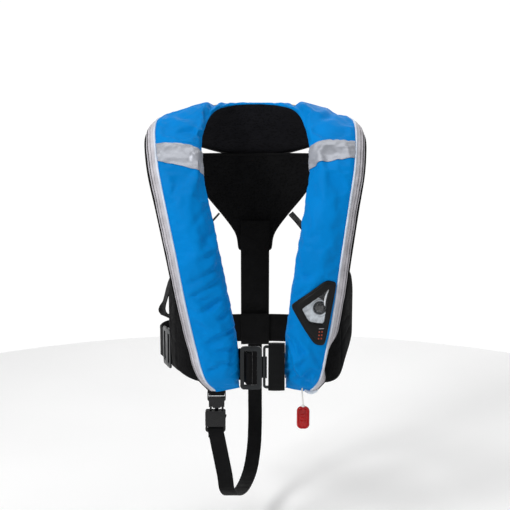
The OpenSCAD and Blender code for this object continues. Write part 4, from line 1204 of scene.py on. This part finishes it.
CROTCH_PATH = [(-62, -89.6, -470), (-62.2, -89.8, -458), (-62.4, -89.8, -453.3), (-62.5, -94, -450.8),
               (-62.5, -100, -450.6), (-62.3, -103.6, -452.6), (-61.4, -104, -458), (-59.6, -101.5, -468),
               (-57, -98, -484), (-48.5, -94, -532), (-45, -87, -560), (-36, -58, -582), (-22, -8, -592),
               (-9, 52, -585), (-2, 98, -558), (0, 118, -520), (0, 124.6, -480), (0, 124.8, -430),
               (0, 124.8, -380), (0, 124.8, -322)]
REAR_LOOP = [(-20, 123.5), (-15.4, 123.6), (-14, 126.8), (0, 127), (14, 126.8), (15.4, 123.6), (20, 123.5)]

strap_dark, strap_ring, strap_crotch = Thread(), Thread(), Thread()
BODY_THREADS = {"pack": strap_dark, "ring": strap_ring, "crotch_release": strap_crotch}
# Path, direction of the width, width, thickness, CAD node, body and step along the path
STRAPS = {
    "belt_webbing": (level(BELT_PATH, BELT_Z), UP, 50, 2.2, "waist_belt", "pack", 2.2),
    "buckle_strap": (level(BUCKLE_LOOP, BUCKLE_Z), UP, 50, 1.4, "buckle_webbing", "pack", 1.2),
    "ring_strap": (level(RING_LOOP, BUCKLE_Z + 1.4), UP, 50, 1.4, "ring_webbing", "ring", 1.0),
    "spine_strap": (BACK_PATH, SIDEWAYS, 50, 1.5, "back_strap", "pack", 1.6),
    "rear_strap_left": (LEFT_REAR, (0.4, -0.85, 0.4), 25, 1.5, "left_rear_strap", "pack", 1.8),
    "rear_strap_right": (RIGHT_REAR, (0, 0.9, 0.4), 25, 1.5, "right_rear_strap", "pack", 1.8),
    "crotch_tab_strap": (TAB + PLUG, SIDEWAYS, 25, 1.5, "crotch_tab", "pack", 1.0),
    "crotch_webbing": (CROTCH_PATH, SIDEWAYS, 25, 1.5, "crotch_strap", "crotch_release", 1.4),
    "rear_loop_strap": (level(REAR_LOOP, -344), UP, 20, 1.1, "crotch_rear_loop", "pack", 1.0),
}
laid = {}
for name, (path, wide, width, thick, node, body, step) in STRAPS.items():
    laid[name] = path, x, n = webbing(name, smooth(path, 4), wide, width, thick, node, body, step)
    for row in (-width / 2 + 3.5, width / 2 - 3.5) if width == 50 else ():
        for sign in (-1, 1):
            BODY_THREADS[body].row(path + x * row + n * sign * thick / 2, n * sign, 3.4, 2.4, 0.28)

# Boxes of stitches where straps are sewn down: at a share of the strap's length, how long, share of its width
TACKS = [("spine_strap", 0.14, 40, 0.78), ("spine_strap", 0.03, 12, 0.78),
         ("rear_strap_left", 0.93, 14, 0.72), ("rear_strap_right", 0.93, 14, 0.72),
         ("rear_strap_left", 0.05, 12, 0.72), ("rear_strap_right", 0.05, 12, 0.72),
         ("crotch_webbing", 0.975, 18, 0.72), ("crotch_webbing", 0.036, 10, 0.72)]
for sign in (-1, 1):
    for name, share, depth, part in TACKS:
        _, _, width, thick, _, body, _ = STRAPS[name]
        path, x, n = laid[name]
        i = int(share * (len(path) - 1))
        place = path[i] + n[i] * sign * (thick / 2 + 0.1)
        BODY_THREADS[body].box(place, x[i], np.cross(n[i], x[i]), n[i] * sign, width * part, depth)

# ---------------------------------------------------------------- keeper sleeve: ribbed elastic
KEEPER_LEFT, KEEPER_RIGHT, KEEPER_Y, KEEPER_Z = 20.2, 45.6, -131.5, -341.0


def keeper_ring(x, inner):
    """A ring of the sleeve: it bulges, bows and has ribs outside, and is plain inside."""
    t = (x - KEEPER_LEFT) / (KEEPER_RIGHT - KEEPER_LEFT)
    bulge = math.sin(math.pi * t)
    w, h, r = 72, 8.4, 2.4
    if not inner:
        rib = 0.16 * math.cos(x * 2 * math.pi / 1.75)
        swell = rib + 0.9 * bulge ** 0.7 - 0.5 - 0.35 * (min(t, 1 - t) < 0.03)
        w, h, r = 75.4 + swell * 0.6, 11.2 + 2 * swell, 4.2
    ring = []
    for up, back in rounded_outline(w, h, r, 8):
        arch = math.cos(math.pi * up / w)
        forward = 0 if inner or back > 0 else 1.6 * arch * bulge
        ring.append((x + 1.7 * (1 - t) * arch, KEEPER_Y + back - forward, KEEPER_Z + up))
    return ring


xs = [KEEPER_LEFT, KEEPER_LEFT + 0.5, *np.arange(KEEPER_LEFT + 1.1, KEEPER_RIGHT - 0.8, 0.55),
      KEEPER_RIGHT - 0.5, KEEPER_RIGHT]
sleeve = np.array([keeper_ring(x, False) for x in xs] + [keeper_ring(x, True) for x in reversed(xs)])
size = sleeve.shape[1]
tube("keeper_elastic", sleeve, "keeper_black", "ring", ("keeper_sleeve",),
     uv_grid(np.arange(size) / size * 170, np.arange(len(sleeve)) * 0.55), 60, closed=True)


# ---------------------------------------------------------------- side panels, yoke, folded bladder
def bound_edge(name, loop, normals, wide=2.6, tall=1.9):
    """A sewn cloth binding folded over a padded edge that runs in a loop."""
    normals = unit(normals)
    x = unit(np.cross(tangents(loop, True), normals))
    a = circle(14)
    side, up = (np.sign(v) * np.abs(v) ** 0.7 * reach for v, reach in ((np.cos(a), wide), (np.sin(a), tall)))
    rings = loop[:, None] + side[None, :, None] * x[:, None] + up[None, :, None] * normals[:, None]
    closed, out, across = (np.vstack([v, v[:1]]) for v in (loop, normals, x))
    tube(name, rings, "webbing_black", uv=uv_grid(a * 2, along(closed)[:-1]), sharp=70, closed=True)
    inward = across * np.sign(np.sum(x[0] * (loop.mean(0) - loop[0])))
    for sign in (-1, 1):
        strap_dark.row(closed + inward * wide * 0.55 + out * sign * tall * 0.94, out * sign, 3.2, 2.2, 0.28)


def quilted(name, grid, normals, thick, node, channels, swell=1.3):
    """A padded sheet over a grid: it swells between sewn channels, where a channel's function is 0."""
    n, m = grid.shape[:2]
    u, v = np.linspace(0, 1, n)[:, None], np.linspace(0, 1, m)[None]
    edge = np.minimum(np.minimum(u, 1 - u) * n / 3, np.minimum(v, 1 - v) * m / 3).clip(0, 1) ** 0.5
    values = [line(u, v) * np.ones((n, m)) for line in channels]
    seam = np.min([1 - np.exp(-(np.abs(value) / 0.022) ** 2) for value in values], axis=0)
    lump = np.array([[0.45 * fractal(p, 22, 9.1) for p in row] for row in grid])
    half = (thick / 2 - 0.55) + edge * (0.25 + (swell + lump) * seam)
    top, bottom = grid + normals * half[..., None], grid - normals * half[..., None]
    slab(name, top, bottom, "mesh_black", (node,), sharp=60)
    for value in values:
        for surface, sign in ((top, 1), (bottom, -1)):
            track = []
            for i in range(2, n - 2):
                j = np.flatnonzero(np.diff(np.sign(value[i])))
                if len(j) and 1 < j[0] < m - 3:
                    t = value[i, j[0]] / (value[i, j[0]] - value[i, j[0] + 1])
                    track.append(surface[i, j[0]] * (1 - t) + surface[i, j[0] + 1] * t)
            if len(track) > 4:
                normal = normals[n // 2, m // 2] * sign
                strap_dark.row(np.array(track) + normal * 0.1, normal, 3.2, 2.2, 0.28)


# Rows of x, y, upper and lower z
PANELS = {
    "left": [(-80, -103, -165, -371), (-90, -102.2, -170, -370), (-107, -94.6, -180, -365),
             (-122, -79, -190, -358), (-129.5, -62, -208, -350), (-132.5, -54, -222, -340),
             (-136.5, -44, -240, -300)],
    "right": [(98, -101.6, -165, -371), (112, -100.4, -172, -373), (126, -94.5, -184, -370),
              (134, -87.4, -191, -362), (141, -78.4, -198, -342), (150.5, -58, -212, -321),
              (155, -40, -238, -311)],
}
PANEL_CHANNELS = [lambda u, v: v - 0.28 - 0.1 * u, lambda u, v: v - 0.52 - 0.06 * u,
                  lambda u, v: v - 0.76 + 0.02 * u, lambda u, v: u - 0.5]
for word, rows in PANELS.items():
    rows = smooth(rows, 6)
    levels = np.linspace(0, 1, 40)
    grid = np.stack([np.column_stack([np.full(40, x), np.full(40, y), top + (bottom - top) * levels])
                     for x, y, top, bottom in rows])
    flat = np.column_stack([rows[:, :2], np.zeros(len(rows))])
    normal = unit(np.cross(tangents(flat), UP))[:, None] * np.ones((1, 40, 1))
    quilted(f"{word}_panel_mesh", grid, normal, 3, f"{word}_side_panel", PANEL_CHANNELS)
    bound_edge(f"side_panel_{word}_binding", relax(border(grid), 4), border(normal))

YOKE = [(-34, 116, 115.4), (-60, 110, 119), (-100, 86, 122), (-140, 54, 122), (-172, 32, 120),
        (-200, 27, 118)]
YOKE_BEND = 0.0011
YOKE_CHANNELS = [lambda u, v: v - 0.5, lambda u, v: v - 0.18 - 0.16 * u, lambda u, v: v - 0.82 + 0.16 * u]
across_x = np.linspace(-1, 1, 49)
yoke = np.stack([np.stack([across_x * half, y + 1.2 - YOKE_BEND * (across_x * half) ** 2, np.full(49, z)], 1)
                 for z, half, y in smooth(YOKE, 8)])
yoke_n = unit(np.stack([2 * YOKE_BEND * yoke[..., 0], np.ones(yoke.shape[:2]), np.zeros(yoke.shape[:2])], -1))
quilted("yoke_mesh", yoke, yoke_n, 2.4, "back_yoke", YOKE_CHANNELS, 1.1)
bound_edge("yoke_binding", relax(border(yoke), 3), border(yoke_n))

# The bladder, folded in three, thin behind the inflator: heights of its lower face across the pack
FULL, THIN = np.array([6, 4.4, 3, 4.4, 6]), np.array([6, 4.4, 3.4, 3, 3.2])
fold_st = both_sides(even_u(0.95, NAPE, 7))
q = np.linspace(0, 1, 14)
h = np.linspace(0, 1, 11)[1:-1]
rings = []
for i, u in enumerate(fold_st.u):
    full = 1.0 if fold_st.side[i] < 0 else float(np.clip((u - 4.5) / 0.5, 0, 1))
    x0, x1 = -0.75, 0.2 + 0.55 * full
    thick = 0.9 + 11.7 * full
    across = x0 + (x1 - x0) * q
    low = np.interp(q, np.linspace(0, 1, 5), FULL * full + THIN * (1 - full)) + 0.3
    wrinkle = np.array([0.5 * full * fractal((u * 60, v * 40, 0), 20, 6.6) for v in q])
    bulge = 0.02 * full * np.abs(np.sin(3 * np.pi * h)) ** 0.6
    xs = np.concatenate([across, x1 + bulge - 0.02, across[::-1], x0 - bulge[::-1] + 0.02])
    xs = xs + fold_st.pinch[i] * np.maximum(0, -xs - PINCH_FROM)
    hs = np.concatenate([low, low[-1] + thick * h, low[::-1] + thick + wrinkle[::-1].clip(-0.6, 0.1),
                         low[0] + thick * h[::-1]])
    rings.append(fold_st.mid[i] + fold_st.s[i] * (xs * fold_st.half[i])[:, None] + fold_st.n[i] * hs[:, None])
rings = np.array(rings)
folded = tube("air_bladder", rings, "bladder_cloth", "pack", ("bladder",),
              uv_grid(np.linspace(0, 160, rings.shape[1]), along(rings[:, 0])), 70)

strap_dark.make("strap_stitches", "keeper_black")
strap_ring.make("ring_stitches", "keeper_black", "ring")
strap_crotch.make("crotch_stitches", "keeper_black", "crotch_release")

# ---------------------------------------------------------------- moulded and metal pieces with rounded edges
# The copy's name, the CAD node, the width of the bevel and the body
for name, node, width, body in (
        ("belt_buckle", "buckle_frame", 0.9, "pack"), ("belt_ring", "buckle_ring", 0.8, "ring"),
        ("webbing_adjuster", "belt_adjuster", 0.6, "adjuster"), ("clasp_plug", "plug_body", 0.6, "pack"),
        ("clasp_socket", "crotch_socket", 0.7, "crotch_release"),
        ("clasp_prong_left", "plug_prong_left", 0.5, "prong_left"),
        ("clasp_prong_right", "plug_prong_right", 0.5, "prong_right"),
        ("slider_shell", "zip_slider", 0.4, "zip_slider"),
        ("slider_tab", "zip_pull_tab", 0.25, "zip_tab"), ("inflator_shell", "inflator_body", 0.6, "pack"),
        ("whistle_shell", "whistle", 0.7, "pack"), ("lever_arm", "firing_lever", 0.4, "lever"),
        ("safety_clip", "lever_clip", 0.25, "lever")):
    bevelled(name, node, width, body)


# ---------------------------------------------------------------- floor
FLOOR_R, FLOOR_Z = 1.3, -0.66  # metres
floor_mesh = bpy.data.meshes.new("floor")
floor_rim = [(FLOOR_R * math.cos(a), FLOOR_R * math.sin(a), FLOOR_Z) for a in circle(64)]
floor_mesh.from_pydata(floor_rim, [], [tuple(range(64))])
floor = bpy.data.objects.new("floor", floor_mesh)
scene.collection.objects.link(floor)
floor_shader = Shader("floor", uv=False)
floor_shader.colours(floor_shader.noise(3, 2), (0.3, (0.9, 0.9, 0.9, 1)), (0.7, (0.93, 0.93, 0.93, 1)))
floor_shader.rough(floor_shader.noise(8, 2), 0.6, 0.7)
floor_shader.set(Emission_Color=(1, 1, 1, 1), Emission_Strength=0.13, Specular_IOR_Level=0.2)
floor_mesh.materials.append(floor_shader.mat)
